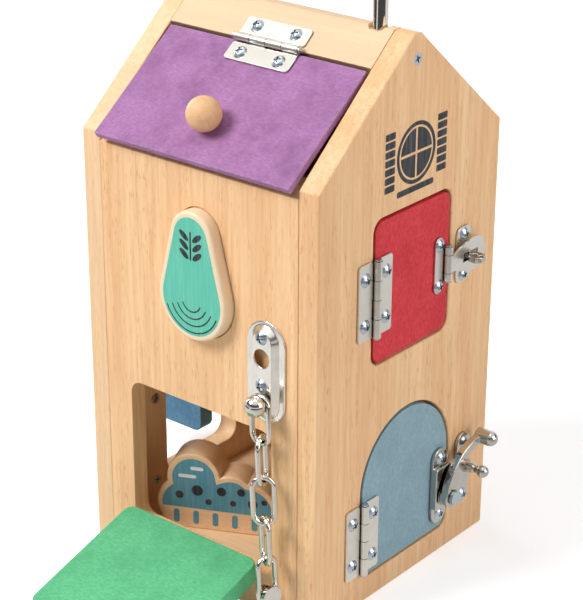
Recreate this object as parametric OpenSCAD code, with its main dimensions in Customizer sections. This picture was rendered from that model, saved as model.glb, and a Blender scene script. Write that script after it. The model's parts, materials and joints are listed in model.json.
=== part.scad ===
// Wooden lock box toy: a small house with a lid, a flap and three doors, each with its own lock.
// The origin is the middle of the base, +Z is up and the flap is on the -Y side.

/* [Box] */
// Width across the two gables
box_w = 150; // [140:1:180]
// Depth from the front to the back
box_d = 145; // [135:1:170]
// Height of the walls at the eaves
eave_z = 232.5; // [226:0.5:250]
// Height of the ridge
ridge_z = 292; // [280:1:310]
// Width of the flat along the ridge
ridge_flat = 5.5; // [3:0.5:8]
// Thickness of the gables
gable_t = 12; // [11:0.5:14]
// Thickness of the front and back panels
panel_t = 10; // [9:0.5:12]
// Thickness of the floor board
floor_t = 12; // [8:0.5:12]
// Height of the shelf's underside
shelf_z = 112; // [106:1:118]
// Thickness of the shelf
shelf_t = 8; // [6:0.5:10]

/* [Roof] */
// Thickness of the back roof panel
roof_t = 8; // [7.5:0.5:10]
// Thickness of the lid
lid_t = 4; // [3.5:0.5:8]
// Distance from the eaves up the slope to the lid's hinge
lid_hinge_s = 68.3; // [62:0.1:72]
// Place of the lid's hinge across the roof
lid_hinge_x = 1.8; // [-10:0.1:10]
// Overhang of the lid past the eaves, down the slope
lid_overhang = 3.3; // [0:0.1:6]
// Angle by which the closed lid stands up from the gables' slope
lid_lift = 3.9; // [2:0.1:6]
// Gap between the lid and each gable
lid_side_gap = 1.6; // [0.5:0.1:2.5]
// Gap between the closed lid and the front panel under it
lid_seat_gap = 4.5; // [0.5:0.1:5]
// Diameter of the lid's ball knob
knob_d = 17.4; // [16:0.1:24]
// Distance from the eaves up the slope to the knob
knob_s = 18.2; // [17:0.1:30]
// Depth of the flat on which the knob sits
knob_flat = 0.5; // [0.2:0.1:1]
// Depth of the ridge beam under the ridge
beam_h = 30; // [27:0.5:34]

/* [Handle] */
// Diameter of the handle's rod
handle_d = 7.5; // [7:0.1:10]
// Distance from each gable's inner face to the handle's leg
handle_in = 10.3; // [8.5:0.1:18]
// Height of the rod's middle over the ridge
handle_rise = 30; // [26:1:45]
// Bend radius of the handle's corners
handle_bend = 15; // [10:1:20]
// Width of the flat seat cut for each leg
seat_d = 11; // [10.5:0.5:14]
// Depth of that seat under the ridge
seat_depth = 2; // [1.5:0.5:6]
// Diameter of the screws that hold the legs
handle_screw_d = 4; // [3:0.5:5]
// Length of thread in each leg
handle_thread = 12; // [8:0.5:16]
// Height of those screws' heads
handle_head_h = 2.6; // [2:0.1:3.5]

/* [Doors] */
// Thickness of the doors and of the flap
door_t = 10; // [8:0.5:10]
// Gap around each door
door_gap = 1.6; // [1.5:0.1:2]
// Gap at each end of the flap
flap_end_gap = 2.5; // [2.4:0.1:3]
// Corner radius of the openings
corner_r = 7; // [5:0.5:10]
// Width of the red door's opening
red_w = 63.5; // [58:0.5:68]
// Height of the red door's opening
red_h = 76.7; // [70:0.1:80]
// Place of the red door's opening along the gable
red_y = 0.85; // [-2:0.05:3]
// Lower edge of the red door's opening
red_z = 130.8; // [126:0.1:136]
// Radius of the arched opening
arch_r = 37.7; // [35:0.1:40]
// Place of the arched opening along the gable
arch_y = 0.6; // [-2:0.1:3]
// Lower edge of the arched opening
arch_z = 13.5; // [12.5:0.1:18]
// Height of the arched opening's straight sides
arch_side = 47.9; // [44:0.1:50]
// Width of the left door's opening
left_w = 56.6; // [52:0.1:62]
// Height of the left door's opening
left_h = 70; // [60:1:76]
// Place of the left door's opening along the gable
left_y = -1.3; // [-3:0.1:2]
// Lower edge of the left door's opening
left_z = 24.7; // [18:0.1:30]
// Angle at which the left door stands open
left_open = 90; // [0:5:110]
// Width of the flap's opening
flap_w = 93.6; // [84:0.1:94]
// Height of the flap's opening
flap_h = 81; // [70:0.5:84]
// Lower edge of the flap's opening
flap_z = 21.4; // [18:0.1:24]
// Angle at which the flap lies open
flap_open = 107; // [0:1:107]

/* [Hinges] */
// Length of each hinge
hinge_l = 40; // [34:1:46]
// Width of each leaf from the pin
leaf_w = 13; // [12:0.5:15]
// Thickness of the hinge leaves
leaf_t = 1.2; // [0.8:0.1:1.5]
// Diameter of the hinge knuckles
knuckle_d = 4.2; // [3.8:0.1:4.6]
// Diameter of the hinge pins
pin_d = 2; // [1.6:0.1:2.4]
// Height of the red hinge's middle over its opening's lower edge
red_hinge_up = 37.5; // [30:0.5:45]
// Height of the arched door's hinge over its opening's lower edge
arch_hinge_up = 24.9; // [22:0.1:27]
// Height of the left door's hinge over its opening's lower edge
left_hinge_up = 35; // [28:0.5:42]

/* [Screws] */
// Diameter of a screw's shank
screw_d = 2.6; // [2:0.1:3]
// Length of a screw under its head
screw_l = 8; // [6:0.5:8.5]
// Diameter of a pan head
head_d = 7.2; // [5.5:0.1:7.4]
// Height of a pan head
head_h = 1.9; // [1.5:0.1:2.2]
// Diameter of a countersunk head
sunk_d = 6.2; // [5.5:0.1:8]
// Depth of a countersunk head
sunk_h = 2.2; // [1.8:0.1:2.6]
// Depth of the gable screws under the ridge
gable_screw_down = 12.4; // [10:0.1:14]
// Gap between the tip of a gable screw and the screw in the handle's leg
gable_screw_gap = 3; // [2:0.1:5]

/* [Hasp] */
// Place of the hasp's pin along the gable, from the red opening's edge
hasp_in = 4.8; // [4:0.1:7]
// Height of the hasp over the red opening's lower edge
hasp_up = 37.6; // [32:0.1:44]
// Height of the hasp's pin over the door
hasp_pin_w = 2.6; // [2.6:0.1:3]
// Diameter of the hasp's knuckles
hasp_knuckle_d = 4.6; // [4.2:0.1:4.6]
// Width of the plate on the door
hasp_plate_w = 6.6; // [6:0.1:7]
// Length of the plate on the door
hasp_plate_l = 30; // [28:0.5:34]
// Distance from the hasp's pin to the middle of that plate
hasp_plate_in = 6; // [6:0.1:7]
// Radius of the leaf's round end
hasp_end_r = 9; // [8:0.1:10]
// Distance from the hasp's pin to the swivel staple
staple_out = 15; // [14:0.1:16]
// Width of the staple's plate
staple_plate_w = 12; // [10:0.1:12]
// Length of the staple's plate
staple_plate_l = 30; // [29:0.5:34]
// Width of the swivel head
swivel_w = 8.4; // [7:0.1:8.6]
// Length of the swivel head
swivel_l = 8.4; // [8:0.1:9]
// Thickness of the swivel head
swivel_t = 3; // [2.5:0.1:3.2]
// Diameter of the swivel's shank
swivel_d = 3.6; // [3:0.1:4]

/* [Swing latch] */
// Place of the latch's base from the arched opening's middle
latch_in = 28.2; // [26:0.1:29]
// Height of the latch's base over the arched opening's lower edge
latch_up = 28; // [26:0.1:30]
// Width of the latch's base
latch_w = 13; // [11:0.1:13]
// Length of the latch's base
latch_l = 44; // [40:0.5:46]
// Thickness of the latch's plates
latch_t = 2; // [1.5:0.1:2.5]
// Diameter of the arm's hub
hub_d = 12; // [10:0.1:12.5]
// Thickness of the arm
arm_t = 4.4; // [3.5:0.1:5]
// Diameter of the arm's pivot
pivot_d = 4; // [3:0.1:5]
// Radius of the arm's curve
arm_r = 25; // [23:0.1:27]
// Width of the arm at its hub
arm_root = 10; // [9:0.1:11.5]
// Width of the arm at its thumb end
arm_tip = 4.6; // [4.4:0.1:6.5]
// Diameter of the arm's thumb end
thumb_d = 8.4; // [7:0.1:9]
// Length of the thumb end
thumb_l = 12; // [9:0.5:14]
// Distance from the latch's base to the strike plate
strike_out = 20.6; // [20:0.1:22]
// Width of the strike plate
strike_w = 12; // [10:0.1:12]
// Length of the strike plate
strike_l = 42; // [40:0.5:46]
// Height of the strike's post over the gable
post_h = 15; // [12:0.5:17]
// Diameter of the ball on the post
post_ball_d = 6.8; // [5:0.1:7]

/* [Chain] */
// Place of the bracket across the front
bracket_x = 44.4; // [43:0.1:47]
// Height of the bracket's middle over the flap's opening
bracket_up = 33.2; // [31:0.1:38]
// Width of the bracket's flange
bracket_w = 23.6; // [22:0.1:25]
// Length of the bracket's flange
bracket_l = 53.4; // [52:0.1:58]
// Height of the bracket's raised face
bracket_h = 4.5; // [4:0.1:4.8]
// Width of the flange beside the raised face
bracket_rim = 2.8; // [2.4:0.1:3.4]
// Width of the flange at the ends of the raised face
bracket_end = 1.3; // [1:0.1:1.6]
// Run of the raised face's leaning sides
bracket_lean = 3; // [2:0.1:3.2]
// Diameter of the bracket's parking hole
park_d = 9.4; // [8.6:0.1:9.8]
// Diameter of the stud's round head
ball_d = 10.8; // [9:0.1:11.4]
// Distance from the middle of that head to its flat back
ball_back = 1.5; // [1:0.1:3]
// Gap between the bracket's face and the first link
link_room = 1.8; // [1.7:0.1:2]
// Diameter of the stud's neck
neck_d = 4.4; // [3.6:0.1:4.6]
// Wire of the chain's links
wire_d = 2.8; // [2.4:0.1:3]
// Length of a link
link_l = 27; // [25:0.1:28]
// Width of a link
link_w = 13.4; // [13.2:0.1:14.4]
// Turn of each link from the one above it
link_turn = 110; // [70:1:110]
// Lean of the hanging chain to the right
chain_side = 5.3; // [4:0.1:7]
// Lean of the hanging chain away from the panel
chain_out = 3; // [2.5:0.1:5]
// Diameter of the button at the chain's end
button_d = 11; // [9:0.1:12]
// Length of the button's track on the flap
track_l = 42; // [36:0.5:46]
// Width of the button's track
track_w = 18; // [17:0.1:20]
// Height of the button's track
track_h = 4.4; // [4:0.1:4.6]

/* [Barrel bolt] */
// Height of the bolt over the left opening's lower edge
bolt_up = 23.8; // [20:0.1:30]
// Diameter of the bolt's rod
bolt_d = 4; // [3:0.1:4.2]
// Length of the rod that shows behind the plate
bolt_tail = 3; // [2:0.1:4]
// Distance from the middle of the plate back to the finger peg
peg_back = 9; // [8:0.1:10]
// Height of the finger peg over the rod's middle
peg_h = 8; // [7:0.1:10]
// Length of the bolt's plate
bolt_plate_l = 38; // [36:0.5:40]
// Width of the bolt's plate
bolt_plate_w = 16; // [15:0.5:18]
// Distance between the keeper's screws
keeper_pitch = 49.4; // [44:0.1:54]
// Distance from the left opening's edge to the keeper's middle
keeper_out = 8.7; // [8:0.1:10]

/* [Play pieces] */
// Height of the pear piece's lower edge
pear_z = 141.5; // [136:0.5:146]
// Place of the pear piece across the front
pear_x = 2; // [-4:0.5:6]
// Height of the pear piece
pear_h = 67; // [60:0.5:70]
// Radius of the pear's belly
belly_r = 21.5; // [18:0.1:23]
// Radius of the pear's top
crown_r = 13.5; // [11:0.1:16]
// Thickness of the pear piece
pear_t = 18; // [15:0.5:20]
// How far the pear piece stands out of the front
pear_proud = 6.5; // [4:0.5:8]
// Gap between the pear piece and its hole
pear_gap = 0.5; // [0.4:0.1:1]
// Length of the cloud block
block_l = 66; // [58:0.5:68]
// Height of the cloud block
block_h = 44.5; // [40:0.5:50]
// Thickness of the cloud block
block_t = 18; // [15:0.5:20]
// Place of the cloud block across the floor
block_x = -19; // [-24:0.5:-14]
// Place of the cloud block from front to back
block_y = -35.5; // [-36.5:0.5:-28]
// Turn of the cloud block on the floor
block_turn = 26; // [10:1:28]

/* [Hidden] */
$fn = 32;

// Small clearances: a pin in its bore, a screw in its hole, and two pieces that move past each other
pin_fit = 0.05;
screw_fit = 0.05;
move_gap = 0.3;
// Line of glue between the back slope and the ridge beam
glue_line = 0.05;
// Overlap that keeps cuts clean
cut = 1;

inner_w = box_w - 2 * gable_t;
inner_d = box_d - 2 * panel_t;
pitch = atan2(ridge_z - eave_z, (box_d - ridge_flat) / 2);
handle_span = inner_w - 2 * handle_in;
gable_screw_l = gable_t + handle_in - handle_screw_d / 2 - gable_screw_gap;
pin_w = knuckle_d / 2 + 0.2;
leaf_clear = knuckle_d / 2 + 0.5;
leaf_screw_u = (leaf_clear + leaf_w) / 2 + 0.4;
leaf_screw_v = hinge_l * 0.3;

lid_axis = [0, -box_d / 2 + lid_hinge_s * cos(pitch) - pin_w * sin(pitch),
    eave_z + lid_hinge_s * sin(pitch) + pin_w * cos(pitch)];
flap_axis = [0, -box_d / 2 - pin_w, flap_z + door_gap / 2];
left_axis = [-box_w / 2 - pin_w, left_y + left_w / 2 - door_gap / 2, 0];

lid_w = inner_w - 2 * lid_side_gap;
lid_end = lid_hinge_s - door_gap / 2;
lid_screw_l = lid_t + leaf_t - 1;
knob_rise = knob_d / 2 - knob_flat;
beam_s = lid_hinge_s + door_gap / 2;

hasp_y = red_y + red_w / 2 - hasp_in;
hasp_z = red_z + hasp_up;
hasp_screw_v = hasp_plate_l / 2 - 4;
hasp_knuckle_l = 18;
hasp_eye_l = 9.4;
hasp_leaf_w = hasp_pin_w + 0.9;
hasp_flare = hasp_knuckle_d / 2 + 0.9;
staple_screw_v = staple_plate_l / 2 - 4;
boss_h = hasp_leaf_w - 0.5;
swivel_seat = hasp_leaf_w + leaf_t + 0.5;

latch_y = arch_y + latch_in;
latch_z = arch_z + latch_up;
latch_screw_v = latch_l / 2 - 5.7;
latch_body_l = 2 * latch_screw_v - head_d - 1;
pivot = [1.2, -4.5];
hub_w = 5;
arm_w = hub_w + move_gap;
strike_screw_v = strike_l / 2 - 5.4;
post = [-0.4, 2.5];
arm_turn = [172, 86];
arm_middle = pivot + [arm_r, -1];
thumb = arm_middle + (arm_r + 1) * [cos(arm_turn[1]), sin(arm_turn[1])];

bracket_z = flap_z + flap_h + bracket_up;
bracket_screws = [[0, 19.2], [0, -6.1]];
park = [0, 8.4];
stud = [1.7, -13.7];
wire_w = bracket_h + link_room + wire_d / 2;
ball_w = wire_w + wire_d / 2 + move_gap + ball_back;
bend_r = (link_w - wire_d) / 2;
link_side = link_l - link_w;
link_step = link_l - 2 * wire_d - move_gap;
chain_top = [bracket_x + stud[0], -box_d / 2 - wire_w, bracket_z + stud[1]];
first_link = (neck_d + wire_d) / 2 + move_gap - (link_l - wire_d) / 2;
button_step = -(link_l - wire_d) / 2 + wire_d / 2 + neck_d / 2 + 0.1;
track_at = [16, 38];
track_screws = [[-track_l / 2 + 4.4, 0], [track_l / 2 - 4.4, 0]];
track_box_l = track_l - 17.6;

bolt_z = left_z + bolt_up;
bolt_w = 3.8;
bolt_edge = -left_y + left_w / 2 - door_gap;
bolt_mid = bolt_edge - bolt_plate_l / 2 - 0.5;
guide_l = 6;
guide_w = bolt_d + 4.4;
bolt_screws = [[0, bolt_plate_w / 2 - 3.6], [0, -bolt_plate_w / 2 + 3.6]];
keeper_u = -left_y + left_w / 2 + keeper_out;
keeper_w = 12;
loop_l = 6;

pear_axis = pear_z + pear_h / 2;
belly_v = -pear_h / 2 + belly_r;
crown_v = pear_h / 2 - crown_r;

// Points of an arc about c from angle a to angle b
function arc(c, r, a, b, n = 8) =
    [for (i = [0:n]) c + r * [cos(a + (b - a) * i / n), sin(a + (b - a) * i / n)]];

// Outline of a rectangle with rounded corners, centred on the origin
function rounded(w, h, r) = concat(
    arc([w / 2 - r, h / 2 - r], r, 0, 90),
    arc([r - w / 2, h / 2 - r], r, 90, 180),
    arc([r - w / 2, r - h / 2], r, 180, 270),
    arc([w / 2 - r, r - h / 2], r, 270, 360));

// Outline of a slot with round ends, along v
function stadium(w, h) = rounded(w, h, w / 2 - 0.01);

// Outline of a doorway with a round top, its lower edge on v = 0
function doorway(r, side, corner) = concat(
    arc([0, side], r, 0, 180, 32),
    arc([corner - r, corner], corner, 180, 270),
    arc([r - corner, corner], corner, 270, 360));

// Outline of the pear, grown by a gap: two arcs joined by their common tangents
function pear(gap) =
    let (lean = asin((belly_r - crown_r) / (crown_v - belly_v)))
    concat(
        arc([0, crown_v], crown_r + gap, lean, 180 - lean, 20),
        arc([0, belly_v], belly_r + gap, 180 - lean, 360 + lean, 28));

// Outline of the hasp's leaf, from its eye to its round end
function hasp_outline(end_u) = concat(
    [[0.8, -hasp_eye_l / 2], [hasp_flare, -hasp_eye_l / 2], [2 * hasp_flare, -hasp_eye_l / 2 - 1.4]],
    arc([end_u - hasp_end_r, 0], hasp_end_r, -104, 104, 20),
    [[2 * hasp_flare, hasp_eye_l / 2 + 1.4], [hasp_flare, hasp_eye_l / 2], [0.8, hasp_eye_l / 2]]);

// Outline of the latch's arm: a quarter bend that narrows fast from the hub to the thumb end
function arm_outline() =
    let (n = 18,
        half = [for (i = [0:n]) (arm_tip + (arm_root - arm_tip) * pow(1 - i / n, 2)) / 2],
        turn = [for (i = [0:n]) arm_turn[0] + (arm_turn[1] - arm_turn[0]) * i / n])
    concat(
        [for (i = [0:n]) arm_middle + (arm_r + half[i]) * [cos(turn[i]), sin(turn[i])]],
        [for (i = [n:-1:0]) arm_middle + (arm_r - half[i]) * [cos(turn[i]), sin(turn[i])]]);

// Frames on the faces of the box: u along the face, v up, w out of it
module on_right(y, z) { translate([box_w / 2, y, z]) rotate([90, 0, 90]) children(); }
module on_left(u, z) { translate([-box_w / 2, -u, z]) rotate([90, 0, -90]) children(); }
module on_front(x, z) { translate([x, -box_d / 2, z]) rotate([90, 0, 0]) children(); }
module on_slope(s) {
    translate([0, -box_d / 2, eave_z]) rotate([pitch, 0, 0]) translate([0, s, 0]) children();
}

// Frames of the five hinges: the pin runs along v, the frame's leaf lies on -u
module at_lid_hinge() {
    on_slope(lid_hinge_s) translate([lid_hinge_x, 0, 0]) rotate([0, 0, -90]) children();
}
module at_red_hinge() {
    on_right(red_y - red_w / 2 + door_gap / 2, red_z + red_hinge_up) children();
}
module at_arch_hinge() {
    on_right(arch_y - arch_r + door_gap / 2, arch_z + arch_hinge_up) children();
}
module at_left_hinge() {
    on_left(-left_y - left_w / 2 + door_gap / 2, left_z + left_hinge_up) children();
}
module at_flap_hinge() { on_front(0, flap_z + door_gap / 2) rotate([0, 0, 90]) children(); }

// Pieces at rest that turn with a hinge away from their closed place
module turned(axis, angles) { translate(axis) rotate(angles) translate(-axis) children(); }
module lid_pose() { turned(lid_axis, [-lid_lift, 0, 0]) children(); }
module flap_pose() { turned(flap_axis, [flap_open, 0, 0]) children(); }
module left_pose() { turned(left_axis, [0, 0, -left_open]) children(); }

// Frames of the locks
module at_hasp() { on_right(hasp_y, hasp_z) children(); }
module at_staple() { at_hasp() translate([staple_out, 0, 0]) children(); }
module at_latch() { on_right(latch_y, latch_z) children(); }
module at_strike() { at_latch() translate([strike_out, 2, 0]) children(); }
module at_bracket() { on_front(bracket_x, bracket_z) children(); }
module at_track() { on_front(track_at[0], flap_z + track_at[1]) children(); }
module at_bolt() { on_left(bolt_mid, bolt_z) children(); }
module at_keeper() { on_left(keeper_u, bolt_z) children(); }
module at_chain() { translate(chain_top) rotate([-chain_out, -chain_side, 0]) children(); }

module plate(points, t) { linear_extrude(t) polygon(points); }

// A board between the gables, from its outline in y and z
module board(points) {
    rotate([90, 0, 90]) linear_extrude(inner_w, center = true) polygon(points);
}

module cross_recess(depth) {
    for (turn = [0, 90]) rotate([0, 0, turn + 20]) translate([-1.9, -0.45, -depth])
        cube([3.8, 0.9, depth + cut]);
}

// Pan-head screw standing on w = 0
module pan_screw(length) {
    dome_r = (pow(head_d / 2, 2) + pow(head_h, 2)) / (2 * head_h);
    difference() {
        union() {
            translate([0, 0, -length]) cylinder(d = screw_d, h = length + head_h / 2);
            difference() {
                translate([0, 0, head_h - dome_r]) sphere(r = dome_r);
                translate([-head_d, -head_d, -3 * head_d]) cube([2 * head_d, 2 * head_d, 3 * head_d]);
            }
        }
        translate([0, 0, head_h]) cross_recess(1.1);
    }
}

// Countersunk screw with its head flush with w = 0
module sunk_screw(length) {
    difference() {
        union() {
            translate([0, 0, -length]) cylinder(d = screw_d, h = length - 0.2);
            translate([0, 0, -sunk_h]) cylinder(d1 = screw_d, d2 = sunk_d, h = sunk_h);
        }
        cross_recess(0.9);
    }
}

module sunk_hole(length) {
    wide = 2 * screw_fit;
    translate([0, 0, -length - cut]) cylinder(d = screw_d + wide, h = length + cut);
    translate([0, 0, -sunk_h]) cylinder(d1 = screw_d + wide, d2 = sunk_d + wide, h = sunk_h);
    translate([0, 0, -0.01]) cylinder(d = sunk_d + wide, h = cut);
}

module screws(points, seat, length) {
    for (p = points) translate([p[0], p[1], seat]) pan_screw(length);
}

module screw_holes(points, seat, length) {
    for (p = points) translate([p[0], p[1], seat - length - 0.2])
        cylinder(d = screw_d + 2 * screw_fit, h = length + 0.2 + cut);
}

// Screws of one hinge leaf: side is -1 for the frame's leaf and 1 for the door's
function leaf_points(side) = [[side * leaf_screw_u, leaf_screw_v], [side * leaf_screw_u, -leaf_screw_v]];
module leaf_screws(side, length = screw_l) { screws(leaf_points(side), leaf_t, length); }
module leaf_holes(side, length = screw_l) { screw_holes(leaf_points(side), leaf_t, length); }

// One leaf of a hinge with its two knuckles
module hinge_leaf(side) {
    quarter = hinge_l / 4;
    plate_w = leaf_w - leaf_clear;
    first = side < 0 ? 0 : 1;
    difference() {
        union() {
            translate([side * (leaf_clear + plate_w / 2), 0, 0])
                plate(rounded(plate_w, hinge_l, 2), leaf_t);
            for (i = [first, first + 2]) translate([0, (i - 2) * quarter + move_gap / 2, 0]) {
                translate([0, 0, pin_w]) rotate([-90, 0, 0])
                    cylinder(d = knuckle_d, h = quarter - move_gap);
                translate([min(side * 0.6, side * (leaf_clear + 2.5)), 0, 0])
                    cube([leaf_clear + 1.9, quarter - move_gap, leaf_t]);
            }
        }
        translate([0, -hinge_l / 2 - cut, pin_w]) rotate([-90, 0, 0])
            cylinder(d = pin_d + 2 * pin_fit, h = hinge_l + 2 * cut);
        leaf_holes(side);
    }
}

// Hinge pin with a small head at each end
module hinge_pin() {
    head = 0.8;
    translate([0, -hinge_l / 2 - head, pin_w]) rotate([-90, 0, 0]) {
        cylinder(d = pin_d, h = hinge_l + 2 * head);
        for (at = [0, hinge_l + head]) translate([0, 0, at]) cylinder(d = knuckle_d - 0.8, h = head);
    }
}

// One gable's outline in y and z
function gable_points() = [[-box_d / 2, 0], [box_d / 2, 0], [box_d / 2, eave_z],
    [ridge_flat / 2, ridge_z], [-ridge_flat / 2, ridge_z], [-box_d / 2, eave_z]];

module left_gable() {
    color("burlywood") difference() {
        on_left(0, 0) translate([0, 0, -gable_t]) plate(gable_points(), gable_t);
        on_left(-left_y, left_z + left_h / 2) translate([0, 0, -gable_t - cut])
            plate(rounded(left_w, left_h, corner_r), gable_t + 2 * cut);
        at_left_hinge() leaf_holes(-1);
        left_gable_screw_places() sunk_hole(gable_screw_l);
        keeper_screw_places() sunk_hole(gable_t + leaf_t);
    }
}

module right_gable() {
    color("burlywood") difference() {
        on_right(0, 0) translate([0, 0, -gable_t]) plate(gable_points(), gable_t);
        on_right(red_y, red_z + red_h / 2) translate([0, 0, -gable_t - cut])
            plate(rounded(red_w, red_h, corner_r), gable_t + 2 * cut);
        on_right(arch_y, arch_z) translate([0, 0, -gable_t - cut])
            plate(doorway(arch_r, arch_side, corner_r), gable_t + 2 * cut);
        at_red_hinge() leaf_holes(-1);
        at_arch_hinge() leaf_holes(-1);
        right_gable_screw_places() sunk_hole(gable_screw_l);
        at_staple() screw_holes([[0, staple_screw_v], [0, -staple_screw_v]], leaf_t, screw_l);
        at_staple() translate([0, 0, -4]) cylinder(d = swivel_d + 3.4, h = 4 + cut);
        at_strike() screw_holes([[0, strike_screw_v], [0, -strike_screw_v]], latch_t, screw_l);
    }
}

module right_gable_screw_places() { on_right(0, ridge_z - gable_screw_down) children(); }
module left_gable_screw_places() { on_left(0, ridge_z - gable_screw_down) children(); }

// The keeper's screws go in from the inside of the left gable
module keeper_screw_places() {
    for (up = [-1, 1]) at_keeper() translate([0, up * keeper_pitch / 2, -gable_t])
        mirror([0, 0, 1]) children();
}

module front_panel() {
    color("navajowhite") difference() {
        board([[-box_d / 2, 0], [panel_t - box_d / 2, 0], [panel_t - box_d / 2, ridge_z],
            [-box_d / 2, ridge_z]]);
        lid_pose() on_slope(0) translate([-box_w, -box_d, -lid_t - lid_seat_gap])
            cube([2 * box_w, 3 * box_d, box_d]);
        on_front(0, flap_z + flap_h / 2) translate([0, 0, -panel_t - cut])
            plate(rounded(flap_w, flap_h, corner_r), panel_t + 2 * cut);
        on_front(pear_x, pear_axis) translate([0, 0, -panel_t - cut])
            plate(pear(pear_gap), panel_t + 2 * cut);
        at_flap_hinge() leaf_holes(-1);
        at_bracket() screw_holes(bracket_screws, bracket_h, bracket_h + screw_l);
    }
}

module back_panel() {
    color("burlywood") difference() {
        board([[box_d / 2 - panel_t, 0], [box_d / 2, 0], [box_d / 2, ridge_z],
            [box_d / 2 - panel_t, ridge_z]]);
        mirror([0, 1, 0]) on_slope(0) translate([-box_w, -box_d, -roof_t])
            cube([2 * box_w, 3 * box_d, box_d]);
    }
}

module floor_board() {
    color("burlywood") translate([-inner_w / 2, -inner_d / 2, 0]) cube([inner_w, inner_d, floor_t]);
}

module middle_shelf() {
    color("burlywood") translate([-inner_w / 2, -inner_d / 2, shelf_z])
        cube([inner_w, inner_d, shelf_t]);
}

// Solid beam under the ridge, cut square to the slope where the lid meets it
module ridge_beam() {
    edge_y = box_d / 2 - beam_s * cos(pitch);
    edge_z = eave_z + beam_s * sin(pitch);
    foot_y = edge_y - (roof_t + 1) * sin(pitch);
    foot_z = edge_z - (roof_t + 1) * cos(pitch);
    half = [[ridge_flat / 2, ridge_z], [edge_y, edge_z], [foot_y, foot_z], [foot_y, ridge_z - beam_h]];
    color("navajowhite") difference() {
        board(concat(half, [for (i = [3:-1:0]) [-half[i][0], half[i][1]]]));
        for (side = [-1, 1]) translate([side * handle_span / 2, 0, 0]) {
            translate([0, 0, ridge_z - seat_depth]) cylinder(d = seat_d, h = seat_depth + cut);
            translate([0, 0, ridge_z - beam_h - cut])
                cylinder(d = handle_screw_d + 2 * screw_fit, h = beam_h + cut);
        }
        at_lid_hinge() leaf_holes(-1);
        right_gable_screw_places() sunk_hole(gable_screw_l);
        left_gable_screw_places() sunk_hole(gable_screw_l);
    }
}

module back_roof_panel() {
    color("burlywood") mirror([0, 1, 0]) on_slope(0)
        translate([-inner_w / 2, -lid_overhang, -roof_t])
            cube([inner_w, beam_s + lid_overhang - glue_line, roof_t]);
}

module sunk_screws() {
    color("gainsboro") {
        right_gable_screw_places() sunk_screw(gable_screw_l);
        left_gable_screw_places() sunk_screw(gable_screw_l);
        keeper_screw_places() sunk_screw(gable_t + leaf_t);
    }
}

// Bent rod with a straight leg at each end of the ridge
module carry_handle() {
    foot_z = ridge_z - seat_depth;
    bend_z = ridge_z + handle_rise - handle_bend;
    run = handle_span / 2 - handle_bend;
    color("silver") difference() {
        union() {
            for (side = [0, 1]) mirror([side, 0, 0]) {
                translate([handle_span / 2, 0, foot_z]) cylinder(d = handle_d, h = bend_z - foot_z);
                translate([run, 0, bend_z]) rotate([90, 0, 0]) rotate_extrude(angle = 90)
                    translate([handle_bend, 0]) circle(d = handle_d);
            }
            translate([-run, 0, bend_z + handle_bend]) rotate([0, 90, 0])
                cylinder(d = handle_d, h = 2 * run);
        }
        for (side = [-1, 1]) translate([side * handle_span / 2, 0, foot_z - cut])
            cylinder(d = handle_screw_d + 2 * screw_fit, h = handle_thread + 2 * cut);
    }
}

module handle_screws() {
    color("gainsboro") for (side = [-1, 1]) translate([side * handle_span / 2, 0, ridge_z - beam_h]) {
        cylinder(d = handle_screw_d, h = beam_h - seat_depth + handle_thread);
        translate([0, 0, -handle_head_h]) cylinder(d = 2 * handle_screw_d, h = handle_head_h);
    }
}

module lid_frame_leaf() { color("silver") at_lid_hinge() hinge_leaf(-1); }
module red_frame_leaf() { color("silver") at_red_hinge() hinge_leaf(-1); }
module arch_frame_leaf() { color("silver") at_arch_hinge() hinge_leaf(-1); }
module left_frame_leaf() { color("silver") at_left_hinge() hinge_leaf(-1); }
module flap_frame_leaf() { color("silver") at_flap_hinge() hinge_leaf(-1); }

module at_each_hinge() {
    at_lid_hinge() children();
    at_red_hinge() children();
    at_arch_hinge() children();
    at_left_hinge() children();
    at_flap_hinge() children();
}

module hinge_pins() { color("dimgray") at_each_hinge() hinge_pin(); }
module frame_leaf_screws() { color("gainsboro") at_each_hinge() leaf_screws(-1); }

// Block with a slot-shaped foot, whose sides and ends lean in by a run over its height
module leaning_slot(w, l, run, h) {
    for (end = [-1, 1]) translate([0, end * (l - w) / 2, 0]) cylinder(d1 = w, d2 = w - 2 * run, h = h);
    rotate([90, 0, 0]) linear_extrude(l - w, center = true)
        polygon([[-w / 2, 0], [w / 2, 0], [w / 2 - run, h], [run - w / 2, h]]);
}

// Pressed plate with a raised hollow face, a parking hole and a hole for the stud
module chain_bracket() {
    foot = [bracket_w - 2 * bracket_rim, bracket_l - 2 * bracket_end];
    hollow = [foot[0] - 2 * leaf_t, foot[1] - 2 * leaf_t];
    depth = bracket_h - leaf_t;
    color("silver") at_bracket() difference() {
        union() {
            plate(stadium(bracket_w, bracket_l), leaf_t);
            leaning_slot(foot[0], foot[1], bracket_lean, bracket_h);
        }
        translate([0, 0, -cut]) plate(stadium(hollow[0], hollow[1]), cut);
        leaning_slot(hollow[0], hollow[1], bracket_lean * depth / bracket_h, depth);
        translate([park[0], park[1], 0]) cylinder(d = park_d, h = bracket_h + cut);
        translate([stud[0], stud[1], 0]) cylinder(d = neck_d + 2 * pin_fit, h = bracket_h + cut);
        screw_holes(bracket_screws, bracket_h, bracket_h);
    }
}

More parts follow.
